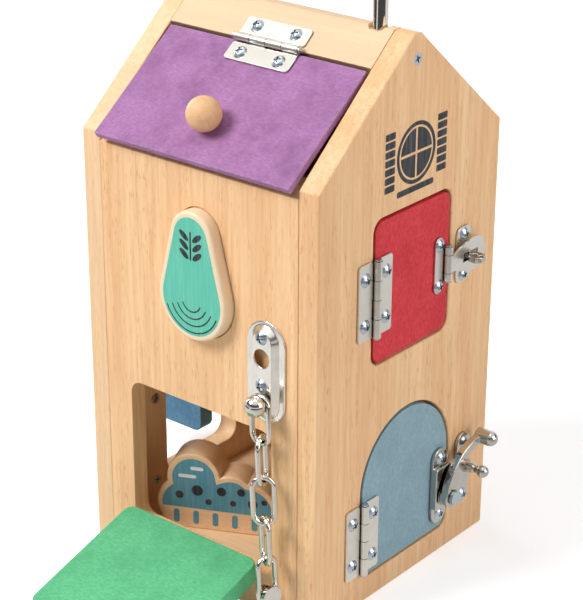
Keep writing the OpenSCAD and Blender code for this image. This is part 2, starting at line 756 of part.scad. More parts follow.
// Riveted stud with a round head that is flat behind, where the first link hangs
module chain_stud() {
    seat = bracket_h - leaf_t;
    color("silver") at_bracket() translate([stud[0], stud[1], 0]) {
        translate([0, 0, seat - 1]) cylinder(d = neck_d + 1.6, h = 1);
        translate([0, 0, seat - 0.5]) cylinder(d = neck_d, h = ball_w - seat + 0.5);
        translate([0, 0, ball_w]) difference() {
            sphere(d = ball_d);
            translate([-ball_d, -ball_d, -2 * ball_d - ball_back]) cube(2 * ball_d);
        }
    }
}

module staple_plate() {
    color("silver") at_staple() difference() {
        union() {
            plate(rounded(staple_plate_w, staple_plate_l, 4), leaf_t);
            cylinder(d = swivel_d + 3, h = boss_h);
        }
        translate([0, 0, -cut]) cylinder(d = swivel_d + 2 * pin_fit, h = boss_h + 2 * cut);
        screw_holes([[0, staple_screw_v], [0, -staple_screw_v]], leaf_t, screw_l);
    }
}

// Strike plate with a tapered post and a ball for the latch's arm to drop behind
module strike_plate() {
    color("silver") at_strike() difference() {
        union() {
            plate(stadium(strike_w, strike_l), latch_t);
            translate([post[0], post[1], latch_t / 2]) {
                cylinder(d1 = 9, d2 = 4.6, h = post_h * 0.6);
                cylinder(d = 4, h = post_h - latch_t / 2);
            }
            translate([post[0], post[1], post_h]) sphere(d = post_ball_d);
        }
        screw_holes([[0, strike_screw_v], [0, -strike_screw_v]], latch_t, screw_l);
    }
}

// Keeper for the barrel bolt: a tall plate with one loop
module bolt_keeper() {
    color("silver") at_keeper() difference() {
        union() {
            plate(stadium(keeper_w, keeper_pitch + 10), leaf_t);
            translate([-loop_l / 2, -guide_w / 2 - 0.6, 0])
                cube([loop_l, guide_w + 1.2, bolt_w + bolt_d / 2 + 2.4]);
        }
        translate([-loop_l, 0, bolt_w]) rotate([0, 90, 0]) cylinder(d = bolt_d + 1.4, h = 2 * loop_l);
        for (up = [-1, 1]) translate([0, up * keeper_pitch / 2, -cut])
            cylinder(d = screw_d + 2 * screw_fit, h = leaf_t + 2 * cut);
    }
}

module lock_plate_screws() {
    color("gainsboro") {
        at_bracket() screws(bracket_screws, bracket_h, bracket_h + screw_l);
        at_staple() screws([[0, staple_screw_v], [0, -staple_screw_v]], leaf_t, screw_l);
        at_strike() screws([[0, strike_screw_v], [0, -strike_screw_v]], latch_t, screw_l);
    }
}

module lid_panel() {
    color("mediumpurple") lid_pose() difference() {
        on_slope(0) translate([-lid_w / 2, -lid_overhang, -lid_t])
            cube([lid_w, lid_end + lid_overhang, lid_t]);
        at_lid_hinge() leaf_holes(1, lid_screw_l);
        on_slope(knob_s) translate([0, 0, -lid_t - cut])
            cylinder(d = screw_d + 2 * screw_fit, h = lid_t + 2 * cut);
    }
}

module lid_leaf() { color("silver") lid_pose() at_lid_hinge() hinge_leaf(1); }
module lid_screws() { color("gainsboro") lid_pose() at_lid_hinge() leaf_screws(1, lid_screw_l); }

// Ball with a small flat where it sits on the lid
module lid_knob() {
    color("wheat") lid_pose() on_slope(knob_s) difference() {
        translate([0, 0, knob_rise]) sphere(d = knob_d);
        translate([-knob_d, -knob_d, -knob_d]) cube([2 * knob_d, 2 * knob_d, knob_d]);
        translate([0, 0, -cut]) cylinder(d = screw_d + 2 * screw_fit, h = screw_l + 2 * cut);
    }
}

module knob_screw() {
    color("gainsboro") lid_pose() on_slope(knob_s) translate([0, 0, -lid_t]) mirror([0, 0, 1])
        pan_screw(lid_t + screw_l);
}

module red_door_panel() {
    color("indianred") difference() {
        on_right(red_y, red_z + red_h / 2) translate([0, 0, -door_t])
            plate(rounded(red_w - 2 * door_gap, red_h - 2 * door_gap, corner_r - door_gap), door_t);
        at_red_hinge() leaf_holes(1);
        at_hasp() screw_holes(hasp_points(), leaf_t, screw_l);
    }
}

module red_leaf() { color("silver") at_red_hinge() hinge_leaf(1); }

module red_door_screws() {
    color("gainsboro") {
        at_red_hinge() leaf_screws(1);
        at_hasp() screws(hasp_points(), leaf_t, screw_l);
    }
}

function hasp_points() = [[-hasp_plate_in, hasp_screw_v], [-hasp_plate_in, -hasp_screw_v]];

// Plate on the red door with a knuckle at each end of the hasp's eye
module hasp_plate() {
    ear = (hasp_knuckle_l - hasp_eye_l) / 2 - move_gap;
    color("silver") at_hasp() difference() {
        union() {
            translate([-hasp_plate_in, 0, 0])
                plate(rounded(hasp_plate_w, hasp_plate_l, hasp_plate_w / 2 - 0.1), leaf_t);
            for (low = [-hasp_knuckle_l / 2, hasp_knuckle_l / 2 - ear]) translate([0, low, 0]) {
                translate([0, 0, hasp_pin_w]) rotate([-90, 0, 0]) cylinder(d = hasp_knuckle_d, h = ear);
                translate([-hasp_plate_in, 0, 0]) cube([hasp_plate_in - 0.7, ear, leaf_t]);
            }
        }
        translate([0, -hasp_knuckle_l, hasp_pin_w]) rotate([-90, 0, 0])
            cylinder(d = pin_d + 2 * pin_fit, h = 2 * hasp_knuckle_l);
        screw_holes(hasp_points(), leaf_t, screw_l);
    }
}

module hasp_pin() {
    head = 0.8;
    color("dimgray") at_hasp() translate([0, -hasp_knuckle_l / 2 - head, hasp_pin_w]) rotate([-90, 0, 0]) {
        cylinder(d = pin_d, h = hasp_knuckle_l + 2 * head);
        for (at = [0, hasp_knuckle_l + head]) translate([0, 0, at])
            cylinder(d = hasp_knuckle_d - 0.8, h = head);
    }
}

// Swinging leaf of the hasp, with a slot that passes over the swivel head
module hasp_leaf() {
    end_u = staple_out + 5.3 + hasp_end_r;
    slot_u = [-swivel_w / 2 - 0.9, swivel_w / 2 + 3.4];
    color("silver") at_hasp() difference() {
        union() {
            translate([0, 0, hasp_leaf_w]) plate(hasp_outline(end_u), leaf_t);
            translate([0, -hasp_eye_l / 2, hasp_pin_w]) rotate([-90, 0, 0])
                cylinder(d = hasp_knuckle_d, h = hasp_eye_l);
        }
        translate([0, -hasp_eye_l, hasp_pin_w]) rotate([-90, 0, 0])
            cylinder(d = pin_d + 2 * pin_fit, h = 2 * hasp_eye_l);
        translate([staple_out + slot_u[0], -swivel_t / 2 - 0.7, hasp_leaf_w - cut])
            cube([slot_u[1] - slot_u[0], swivel_t + 1.4, leaf_t + 2 * cut]);
    }
}

// Turning staple: a shank through the boss and a flat head with two eyes
module swivel_staple() {
    eye_d = 2.6;
    color("silver") at_staple() {
        translate([0, 0, -1.5]) cylinder(d = swivel_d + 2, h = 1.2);
        translate([0, 0, -1]) cylinder(d = swivel_d, h = swivel_seat + 1.6);
        translate([0, swivel_t / 2, swivel_seat + swivel_l / 2]) rotate([90, 0, 0])
            linear_extrude(swivel_t) difference() {
                polygon(rounded(swivel_w, swivel_l, 3.2));
                for (up = [-1, 1]) translate([0, up * 1.9 + 0.6]) circle(d = eye_d);
            }
    }
}

module arch_door_panel() {
    color("lightsteelblue") difference() {
        on_right(arch_y, arch_z + door_gap) translate([0, 0, -door_t])
            plate(doorway(arch_r - door_gap, arch_side - door_gap, corner_r - door_gap), door_t);
        at_arch_hinge() leaf_holes(1);
        at_latch() screw_holes(latch_points(), latch_t, screw_l);
    }
}

module arch_leaf() { color("silver") at_arch_hinge() hinge_leaf(1); }

function latch_points() = [[0, latch_screw_v], [0, -latch_screw_v]];

module arch_door_screws() {
    color("gainsboro") {
        at_arch_hinge() leaf_screws(1);
        at_latch() screws(latch_points(), latch_t, screw_l);
    }
}

// Cast base of the swing latch, raised between its screws, with a round boss under the arm's hub
module latch_base() {
    color("silver") at_latch() difference() {
        union() {
            plate(stadium(latch_w, latch_l), latch_t);
            plate(rounded(latch_w, latch_body_l, 1.5), hub_w - 0.6);
            translate([pivot[0], pivot[1], 0]) cylinder(d = hub_d - 1, h = hub_w);
        }
        translate([pivot[0], pivot[1], 1]) cylinder(d = pivot_d + 2 * pin_fit, h = hub_w + cut);
        screw_holes(latch_points(), latch_t, screw_l);
    }
}

module latch_pivot() {
    top = arm_w + arm_t + move_gap;
    color("gainsboro") at_latch() translate([pivot[0], pivot[1], 1]) {
        cylinder(d = pivot_d, h = top);
        translate([0, 0, top - 1]) cylinder(d = pivot_d + 3.4, h = 1.8);
    }
}

// Curved arm with a round hub and a thumb end that stands out from the door
module latch_arm() {
    color("silver") at_latch() difference() {
        union() {
            translate([pivot[0], pivot[1], arm_w]) cylinder(d = hub_d, h = arm_t);
            translate([0, 0, arm_w + 0.2]) plate(arm_outline(), arm_t - 0.4);
            translate([thumb[0], thumb[1], arm_w + 0.6]) cylinder(d = thumb_d, h = thumb_l - thumb_d / 2);
            translate([thumb[0], thumb[1], arm_w + 0.6 + thumb_l - thumb_d / 2]) sphere(d = thumb_d);
        }
        translate([pivot[0], pivot[1], arm_w - cut]) cylinder(d = pivot_d + 2 * pin_fit, h = arm_t + 2 * cut);
        translate([0, 0, arm_w - thumb_d]) translate([thumb[0] - thumb_d, thumb[1] - thumb_d, 0.6])
            cube([2 * thumb_d, 2 * thumb_d, thumb_d]);
    }
}

module left_door_panel() {
    color("steelblue") left_pose() difference() {
        on_left(-left_y, left_z + left_h / 2) translate([0, 0, -door_t])
            plate(rounded(left_w - 2 * door_gap, left_h - 2 * door_gap, corner_r - door_gap), door_t);
        at_left_hinge() leaf_holes(1);
        at_bolt() screw_holes(bolt_screws, leaf_t, screw_l);
    }
}

module left_leaf() { color("silver") left_pose() at_left_hinge() hinge_leaf(1); }

module left_door_screws() {
    color("gainsboro") left_pose() {
        at_left_hinge() leaf_screws(1);
        at_bolt() screws(bolt_screws, leaf_t, screw_l);
    }
}

// Plate with two guides for the barrel bolt
module bolt_guide() {
    guide_h = bolt_w + bolt_d / 2 + 2;
    color("silver") left_pose() at_bolt() difference() {
        union() {
            plate([for (p = rounded(bolt_plate_w, bolt_plate_l, 3)) [p[1], -p[0]]], leaf_t);
            for (end = [-1, 1]) translate([end * (bolt_plate_l - guide_l) / 2 - guide_l / 2, -guide_w / 2, 0])
                cube([guide_l, guide_w, guide_h]);
        }
        translate([-bolt_plate_l, 0, bolt_w]) rotate([0, 90, 0])
            cylinder(d = bolt_d + 2 * pin_fit, h = 2 * bolt_plate_l);
        screw_holes(bolt_screws, leaf_t, screw_l);
    }
}

// Sliding rod with a finger peg, drawn back at rest
module bolt_rod() {
    color("gainsboro") left_pose() at_bolt() {
        translate([-bolt_plate_l / 2 - bolt_tail, 0, bolt_w]) rotate([0, 90, 0])
            cylinder(d = bolt_d, h = bolt_plate_l + bolt_tail - 2 * screw_fit);
        translate([-peg_back, 0, bolt_w]) cylinder(d = bolt_d * 0.85, h = peg_h);
        translate([-peg_back, 0, bolt_w + peg_h]) sphere(d = bolt_d * 1.4);
    }
}

module flap_panel() {
    color("mediumseagreen") flap_pose() difference() {
        on_front(0, flap_z + flap_h / 2) translate([0, 0, -door_t])
            plate(rounded(flap_w - 2 * flap_end_gap, flap_h - 2 * door_gap, corner_r - door_gap), door_t);
        at_flap_hinge() leaf_holes(1);
        at_track() screw_holes(track_screws, leaf_t, screw_l);
    }
}

module flap_leaf() { color("silver") flap_pose() at_flap_hinge() hinge_leaf(1); }

module flap_screws() {
    color("gainsboro") flap_pose() {
        at_flap_hinge() leaf_screws(1);
        at_track() screws(track_screws, leaf_t, screw_l);
    }
}

// Keyhole track for the chain's button, on the outside of the flap
module chain_track() {
    box = [track_box_l, track_w - 3];
    slot = neck_d + 0.4;
    hole_u = box[0] / 2 - button_d / 2 - 2.4;
    color("silver") flap_pose() at_track() difference() {
        union() {
            plate([for (p = rounded(track_w, track_l, 4)) [p[1], -p[0]]], leaf_t);
            translate([-box[0] / 2, -box[1] / 2, 0]) cube([box[0], box[1], track_h]);
        }
        translate([leaf_t - box[0] / 2, leaf_t - box[1] / 2, -cut])
            cube([box[0] - 2 * leaf_t, box[1] - 2 * leaf_t, track_h - leaf_t + cut]);
        translate([hole_u, 0, 0]) cylinder(d = button_d + 0.6, h = track_h + cut);
        translate([-hole_u - 2, -slot / 2, 0]) cube([2 * hole_u + 2, slot, track_h + cut]);
        screw_holes(track_screws, leaf_t, screw_l);
    }
}

// One link of the chain: two straight sides and two half rings
module chain_link() {
    for (end = [0, 1]) mirror([0, 0, end]) {
        translate([0, 0, link_side / 2]) rotate([90, 0, 0]) rotate_extrude(angle = 180)
            translate([bend_r, 0]) circle(d = wire_d);
    }
    for (side = [-1, 1]) translate([side * bend_r, 0, -link_side / 2])
        cylinder(d = wire_d, h = link_side);
}

module hung_link(index) {
    color("silver") at_chain() translate([0, 0, first_link - index * link_step])
        rotate([0, 0, index * link_turn]) children();
}

module chain_link_1() { hung_link(0) chain_link(); }
module chain_link_2() { hung_link(1) chain_link(); }
module chain_link_3() { hung_link(2) chain_link(); }
module chain_link_4() { hung_link(3) chain_link(); }
module chain_link_5() { hung_link(4) chain_link(); }

// Button caught in the last link: a wide disc, a neck through the link and a collar
module chain_button() {
    half = wire_d / 2 + move_gap;
    hung_link(4) translate([0, 0, button_step]) rotate([90, 0, 0]) {
        translate([0, 0, -half - 1.6]) cylinder(d = neck_d, h = 2 * half + 3.2);
        translate([0, 0, half]) cylinder(d = button_d, h = 2.2);
        translate([0, 0, -half - 2]) cylinder(d = button_d - 2.6, h = 2);
    }
}

// Blank that is pushed through its own hole in the front
module pear_piece() {
    color("turquoise") on_front(pear_x, pear_axis) translate([0, 0, pear_proud - pear_t])
        plate(pear(0), pear_t);
}

// Cloud-shaped block that stands on the floor inside, higher at its left
module cloud_block() {
    side_r = block_h * 0.36;
    top_r = block_h * 0.33;
    low_r = block_h * 0.3;
    color("skyblue") translate([block_x, block_y, floor_t]) rotate([0, 0, block_turn]) rotate([90, 0, 0])
        translate([0, 0, -block_t / 2]) linear_extrude(block_t) intersection() {
            union() {
                for (end = [-1, 1]) translate([end * (block_l / 2 - side_r), side_r - 2]) circle(r = side_r);
                translate([-block_l * 0.19, block_h - top_r]) circle(r = top_r);
                translate([block_l * 0.12, block_h * 0.75 - low_r]) circle(r = low_r);
                translate([side_r - block_l / 2, 0]) square([block_l - 2 * side_r, block_h * 0.6]);
            }
            translate([-block_l, 0]) square([2 * block_l, 2 * block_h]);
        }
}

left_gable();
right_gable();
front_panel();
back_panel();
floor_board();
middle_shelf();
ridge_beam();
back_roof_panel();
sunk_screws();
carry_handle();
handle_screws();
lid_frame_leaf();
red_frame_leaf();
arch_frame_leaf();
left_frame_leaf();
flap_frame_leaf();
hinge_pins();
frame_leaf_screws();
chain_bracket();
chain_stud();
staple_plate();
strike_plate();
bolt_keeper();
lock_plate_screws();
lid_panel();
lid_leaf();
lid_screws();
lid_knob();
knob_screw();
red_door_panel();
red_leaf();
red_door_screws();
hasp_plate();
hasp_pin();
hasp_leaf();
swivel_staple();
arch_door_panel();
arch_leaf();
arch_door_screws();
latch_base();
latch_pivot();
latch_arm();
left_door_panel();
left_leaf();
left_door_screws();
bolt_guide();
bolt_rod();
flap_panel();
flap_leaf();
flap_screws();
chain_track();
chain_link_1();
chain_link_2();
chain_link_3();
chain_link_4();
chain_link_5();
chain_button();
pear_piece();
cloud_block();
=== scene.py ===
"""Finishes, printed motifs and studio for a wooden lock box toy."""

import json
import math

import bmesh
import bpy
from bpy.props import FloatProperty, FloatVectorProperty, PointerProperty
from mathutils import Matrix, Vector


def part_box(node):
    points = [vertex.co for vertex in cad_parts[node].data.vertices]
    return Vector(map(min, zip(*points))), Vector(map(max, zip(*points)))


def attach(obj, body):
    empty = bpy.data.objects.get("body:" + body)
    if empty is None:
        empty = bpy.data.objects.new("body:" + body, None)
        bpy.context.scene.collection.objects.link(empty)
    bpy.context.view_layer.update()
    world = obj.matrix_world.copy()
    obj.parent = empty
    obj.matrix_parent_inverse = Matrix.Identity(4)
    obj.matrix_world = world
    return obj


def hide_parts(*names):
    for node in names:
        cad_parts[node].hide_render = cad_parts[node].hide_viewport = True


bl_info = {
    "name": "Wooden Lock Box",
    "version": (1, 0, 0),
    "blender": (4, 5, 0),
    "location": "3D View > Sidebar > Lock Box",
    "description": "Finishes, printed motifs and a studio for a wooden lock box toy",
    "category": "Object",
}

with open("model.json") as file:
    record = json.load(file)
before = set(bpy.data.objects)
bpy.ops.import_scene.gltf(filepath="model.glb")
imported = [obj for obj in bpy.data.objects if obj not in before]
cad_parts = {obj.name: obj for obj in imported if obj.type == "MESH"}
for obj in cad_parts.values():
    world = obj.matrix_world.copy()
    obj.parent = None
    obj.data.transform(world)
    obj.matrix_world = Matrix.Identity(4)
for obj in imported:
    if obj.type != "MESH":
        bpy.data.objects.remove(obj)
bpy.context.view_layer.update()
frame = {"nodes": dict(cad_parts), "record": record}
BODY_OF = {
    node: body
    for body, nodes in frame["record"]["behaviour"]["bodies"].items()
    for node in nodes
}

# Corners nearer than this, in metres, are one point
MERGE = 0.000002
# Faces that meet at less than this are one flat face
FLAT = math.radians(0.4)
# Edges that turn by more than this are rounded
SHARP = math.radians(28)
# Faces that meet at less than this are shaded as one
SMOOTH = math.radians(38)
# Edges shorter than this, in metres, are the rims of screw holes, which stay crisp
SHORTEST = 0.0006
# Passes of smoothing that ease the corners of the castings and of the pressed bracket
CAST_ROUNDS = 6
PRESS_ROUNDS = 14
# How far from an edge, in metres, a stained board is worn pale and given a painted highlight
WORN_AND_LIT_WIDTH = 0.0011
# How far apart two boards, or two doors, lie in the pattern of the grain
BOARD_SHIFT = (0.37, 0.19, 0.53)
DOOR_SHIFT = (0.23, 0.41, 0.31)
LINKS = 5
# Place and width of each lamp in metres, and the point at which all are aimed
LAMPS = {
    "key": ((-0.80, -1.32, 1.65), 0.9),
    "top": ((0.05, -0.20, 1.90), 0.8),
    "fill": ((1.45, 0.30, 0.75), 1.1),
    "side": ((-1.40, 0.20, 0.60), 0.8),
}
AIM = (0, 0, 0.13)
# Distance from the box, in metres, over which the paper ends in what metal mirrors
PAPER_END = (0.42, 0.60)
# Turn of the mirrored room about the box, and the side of its white wall
ROOM_TURN = math.radians(-39)
WALL_SIDE = (-0.63, 0.77, 0)
# Middle and half width of the bright strip in that room, as a share of the way to the right
STRIP_AT = -0.74
STRIP_REACH = 0.09
# Width of the camera's sensor in millimetres, and how far it sees in metres
SENSOR = 36
FAR = 50


def srgb(red, green, blue):
    """A colour given as it looks on screen, 0 to 255, in the linear numbers that shaders use."""
    def linear(value):
        share = value / 255
        return share / 12.92 if share <= 0.04045 else ((share + 0.055) / 1.055) ** 2.4
    return (linear(red), linear(green), linear(blue))


def colour_property(name, description, default):
    return FloatVectorProperty(
        name=name, description=description, default=default, min=0, max=1, size=3, subtype="COLOR")


def length_property(name, description, default):
    return FloatProperty(
        name=name, description=description, default=default, min=0, unit="LENGTH", precision=5)


class LockBoxWood(bpy.types.PropertyGroup):
    """Colours and rounding of the bare boards"""
    pale: colour_property("Pale wood", "Lightest bands of the bare boards", srgb(251, 209, 160))
    middle: colour_property("Middle wood", "Main colour of the bare boards", srgb(241, 190, 138))
    dark: colour_property("Dark wood", "Darkest bands of the bare boards", srgb(222, 163, 108))
    pore: colour_property("Pores", "Short dark dashes along the grain", srgb(206, 138, 82))
    cream: colour_property("Cream wood", "Sapwood of the paler boards", srgb(247, 226, 194))
    edge: length_property("Board edge", "Rounding of the boards' edges", 0.0009)
    crisp_edge: length_property(
        "Crisp edge", "Rounding of the front wall's and the beam's edges", 0.0003)
    pear_edge: length_property("Pear edge", "Rounding of the pear piece's edges", 0.0017)
    cloud_edge: length_property("Cloud edge", "Rounding of the cloud block's edges", 0.0009)


class LockBoxBoards(bpy.types.PropertyGroup):
    """Colours and rounding of the lid, the doors and the flap"""
    purple: colour_property("Lid", "Stain of the lid", srgb(176, 120, 174))
    red: colour_property("Upper door", "Stain of the upper side door", srgb(228, 54, 64))
    blue: colour_property("Arched door", "Stain of the arched door", srgb(150, 183, 196))
    dark_blue: colour_property("Left door", "Stain of the left door", srgb(84, 136, 172))
    green: colour_property("Flap", "Stain of the flap", srgb(92, 195, 137))
    edge: length_property("Door edge", "Rounding of the doors' edges", 0.0006)
    lid_edge: length_property("Lid edge", "Rounding of the lid's and the flap's edges", 0.0007)


class LockBoxMetal(bpy.types.PropertyGroup):
    """Colours and rounding of the locks, hinges and screws"""
    nickel: colour_property("Nickel", "Plating of the locks, hinges and chain", srgb(231, 226, 217))
    bright: colour_property("Bright nickel", "Plating of the chain's bracket", srgb(244, 239, 230))
    zinc: colour_property("Zinc", "Plating of the screws", srgb(196, 206, 214))
    edge: length_property("Plate edge", "Rounding of the thin plates' edges", 0.00022)
    cast_grain: length_property(
        "Cast grain", "Mesh size of the cast pieces, which eases their corners", 0.00028)
    chain_shade: FloatProperty(
        name="Chain shade", description="Brightness of the chain beside the plates",
        default=0.92, min=0, max=1, subtype="FACTOR")
    cast_shade: FloatProperty(
        name="Cast shade", description="Brightness of the cast pieces beside the plates",
        default=0.72, min=0, max=1, subtype="FACTOR")


class LockBoxPrints(bpy.types.PropertyGroup):
    """Colours and places of the printed motifs"""
    teal: colour_property("Pear print", "Ink on the pear piece", srgb(96, 197, 172))
    sky: colour_property("Cloud print", "Ink on the cloud block", srgb(88, 152, 172))
    ink: colour_property("Dark ink", "Ink of the window motif and the strokes", srgb(44, 48, 54))
    white: colour_property("Pale ink", "Ink of the cloud's pale strokes", srgb(232, 236, 236))
    margin: length_property("Margin", "Bare wood around a print", 0.0029)
    lift: length_property("Ink height", "Thickness of a layer of ink", 0.00005)
    window_y: FloatProperty(
        name="Window place", description="Place of the window motif along the gable",
        default=0.0011, unit="LENGTH", precision=5)
    window_z: length_property("Window height", "Height of the window motif's middle", 0.2335)
    window_r: length_property("Window radius", "Radius of the round window motif", 0.0155)


class LockBoxStage(bpy.types.PropertyGroup):
    """Camera, lights and floor"""
    camera_at: FloatVectorProperty(
        name="Camera", description="Where the camera stands", size=3, subtype="TRANSLATION",
        default=(0.5823, -0.7085, 0.5420))
    camera_to: FloatVectorProperty(
        name="View", description="Direction in which the camera looks", size=3, subtype="DIRECTION",
        default=(-0.5808, 0.7061, -0.4050))
    roll: FloatProperty(
        name="Roll", description="Turn of the camera about its view", subtype="ANGLE",
        default=math.radians(0.25))
    lens: FloatProperty(
        name="Lens", description="Focal length in millimetres", default=119.77, min=1)
    floor_size: length_property("Floor", "Width of the floor", 8.0)
    key: FloatProperty(
        name="Key light", description="Power of the light from the front", default=40.5, min=0)
    top: FloatProperty(
        name="Top light", description="Power of the light from above", default=5, min=0)
    fill: FloatProperty(
        name="Fill light", description="Power of the light from the right", default=11.5, min=0)
    side: FloatProperty(
        name="Side light", description="Power of the light from the left", default=6, min=0)
    ambient: FloatProperty(name="Ambient", description="Light from all sides", default=0.20, min=0)


def settings():
    return bpy.context.scene.lock_box


# Working with meshes

def clear_selection():
    if bpy.context.object and bpy.context.object.mode != "OBJECT":
        bpy.ops.object.mode_set(mode="OBJECT")
    bpy.ops.object.select_all(action="DESELECT")


def only(piece):
    """Leaves one object selected and active."""
    clear_selection()
    piece.select_set(True)
    bpy.context.view_layer.objects.active = piece


def merged_copy(node, name, whole=True):
    """A copy of a node's mesh as one closed skin, with its flat faces made whole."""
    piece = bpy.data.objects.new(name, frame["nodes"][node].data.copy())
    bpy.context.scene.collection.objects.link(piece)
    only(piece)
    bpy.ops.mesh.customdata_custom_splitnormals_clear()
    bpy.ops.object.mode_set(mode="EDIT")
    bpy.ops.mesh.select_all(action="SELECT")
    bpy.ops.mesh.remove_doubles(threshold=MERGE)
    if whole:
        bpy.ops.mesh.dissolve_limited(angle_limit=FLAT)
    bpy.ops.object.mode_set(mode="OBJECT")
    return piece


def select_edges(piece, wanted):
    """Selects, in edit mode, the edges for which wanted is true, and says how many there are."""
    only(piece)
    bpy.ops.object.mode_set(mode="EDIT")
    bpy.ops.mesh.select_mode(type="EDGE")
    bpy.ops.mesh.select_all(action="DESELECT")
    mesh = bmesh.from_edit_mesh(piece.data)
    count = 0
    for edge in mesh.edges:
        if wanted(edge):
            edge.select_set(True)
            count += 1
    bmesh.update_edit_mesh(piece.data)
    return count


def sharp_edge(edge):
    """True for an outer edge that a hand would feel as sharp."""
    if len(edge.link_faces) != 2 or edge.calc_length() < SHORTEST:
        return False
    return edge.is_convex and edge.calc_face_angle(0) > SHARP


def soften(piece, width, segments=3):
    """Rounds the sharp edges of a piece and shades it smooth, with its flat faces left flat."""
    only(piece)
    bpy.ops.object.mode_set(mode="EDIT")
    bpy.ops.mesh.select_all(action="SELECT")
    bpy.ops.mesh.quads_convert_to_tris(quad_method="BEAUTY", ngon_method="BEAUTY")
    if select_edges(piece, sharp_edge):
        bpy.ops.mesh.bevel(
            offset=width, offset_type="OFFSET", segments=segments, affect="EDGES",
            clamp_overlap=False, loop_slide=False, face_strength_mode="ALL")
    bpy.ops.object.mode_set(mode="OBJECT")
    bpy.ops.object.shade_smooth_by_angle(angle=SMOOTH)
    even = piece.modifiers.new("Even shading", "WEIGHTED_NORMAL")
    even.keep_sharp = True
    even.use_face_influence = True
    bpy.ops.object.modifier_apply(modifier=even.name)
    return piece


def dress(piece, material, body):
    """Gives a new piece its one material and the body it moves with."""
    piece.data.materials.clear()
    piece.data.materials.append(material)
    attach(piece, body)


def smooth_node(node, name, material):
    """Stands a copy that is shaded smooth in for a node."""
    piece = merged_copy(node, name, whole=False)
    bpy.ops.object.shade_smooth_by_angle(angle=SMOOTH)
    dress(piece, material, BODY_OF[node])
    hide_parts(node)


def softened_node(node, name, width, material, segments=3):
    """Stands a copy with rounded edges in for a node."""
    piece = soften(merged_copy(node, name), width, segments)
    dress(piece, material, BODY_OF[node])
    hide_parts(node)


def cast_node(node, name, grain, material, rounds=CAST_ROUNDS):
    """Stands a copy with the eased corners of a casting or a pressing in for a node."""
    piece = merged_copy(node, name, whole=False)
    skin = piece.modifiers.new("Even skin", "REMESH")
    skin.mode = "VOXEL"
    skin.voxel_size = grain
    bpy.ops.object.modifier_apply(modifier=skin.name)
    ease = piece.modifiers.new("Eased corners", "SMOOTH")
    ease.factor = 0.5
    ease.iterations = rounds
    bpy.ops.object.modifier_apply(modifier=ease.name)
    bpy.ops.object.shade_smooth()
    dress(piece, material, BODY_OF[node])
    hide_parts(node)


# Working with shaders

def shader(name):
    material = bpy.data.materials.new(name)
    material.use_nodes = True
    tree = material.node_tree
    return material, tree, tree.nodes["Principled BSDF"]


def joined(tree, value, socket):
    """Links a node's output to a socket, or sets a plain number on it."""
    if isinstance(value, bpy.types.NodeSocket):
        tree.links.new(value, socket)
    else:
        socket.default_value = value


def object_coordinates(tree, scale=(1, 1, 1), offset=(0, 0, 0), turn=(0, 0, 0)):
    place = tree.nodes.new("ShaderNodeTexCoord")
    mapping = tree.nodes.new("ShaderNodeMapping")
    mapping.inputs["Scale"].default_value = scale
    mapping.inputs["Location"].default_value = offset
    mapping.inputs["Rotation"].default_value = turn
    tree.links.new(place.outputs["Object"], mapping.inputs["Vector"])
    return mapping.outputs["Vector"]


def along_grain(tree, axis, squeeze, offset):
    """Coordinates squeezed along one axis, so that round blots become long fibres."""
    scale = [squeeze if letter == axis else 1 for letter in "XYZ"]
    return object_coordinates(tree, scale, offset)


def noise(tree, vector, scale, detail=2, roughness=0.5, distortion=0):
    texture = tree.nodes.new("ShaderNodeTexNoise")
    tree.links.new(vector, texture.inputs["Vector"])
    texture.inputs["Scale"].default_value = scale
    texture.inputs["Detail"].default_value = detail
    texture.inputs["Roughness"].default_value = roughness
    texture.inputs["Distortion"].default_value = distortion
    return texture.outputs["Fac"]


def span(tree, value, low, high, to_low=0.0, to_high=1.0):
    """Stretches a stretch of a value over a new range."""
    ranged = tree.nodes.new("ShaderNodeMapRange")
    tree.links.new(value, ranged.inputs["Value"])
    ranged.inputs["From Min"].default_value = low
    ranged.inputs["From Max"].default_value = high
    ranged.inputs["To Min"].default_value = to_low
    ranged.inputs["To Max"].default_value = to_high
    return ranged.outputs["Result"]


def blend(tree, factor, first, second, mode="MIX"):
    """Mixes two colours, each a socket or three numbers."""
    mix = tree.nodes.new("ShaderNodeMix")
    mix.data_type = "RGBA"
    mix.blend_type = mode
    joined(tree, factor, mix.inputs["Factor"])
    for value, socket in ((first, mix.inputs[6]), (second, mix.inputs[7])):
        joined(tree, value if isinstance(value, bpy.types.NodeSocket) else (*value, 1), socket)
    return mix.outputs[2]


def eased_normal(tree, width):
    """The surface's direction as if its edges were rounded over a width."""
    rounded = tree.nodes.new("ShaderNodeBevel")
    rounded.samples = 6
    rounded.inputs["Radius"].default_value = width
    return rounded.outputs["Normal"]


def bump(tree, bsdf, height, strength, distance):
    """Raises a surface by a pattern."""
    node = tree.nodes.new("ShaderNodeBump")
    node.inputs["Strength"].default_value = strength
    node.inputs["Distance"].default_value = distance
    tree.links.new(height, node.inputs["Height"])
    tree.links.new(node.outputs["Normal"], bsdf.inputs["Normal"])


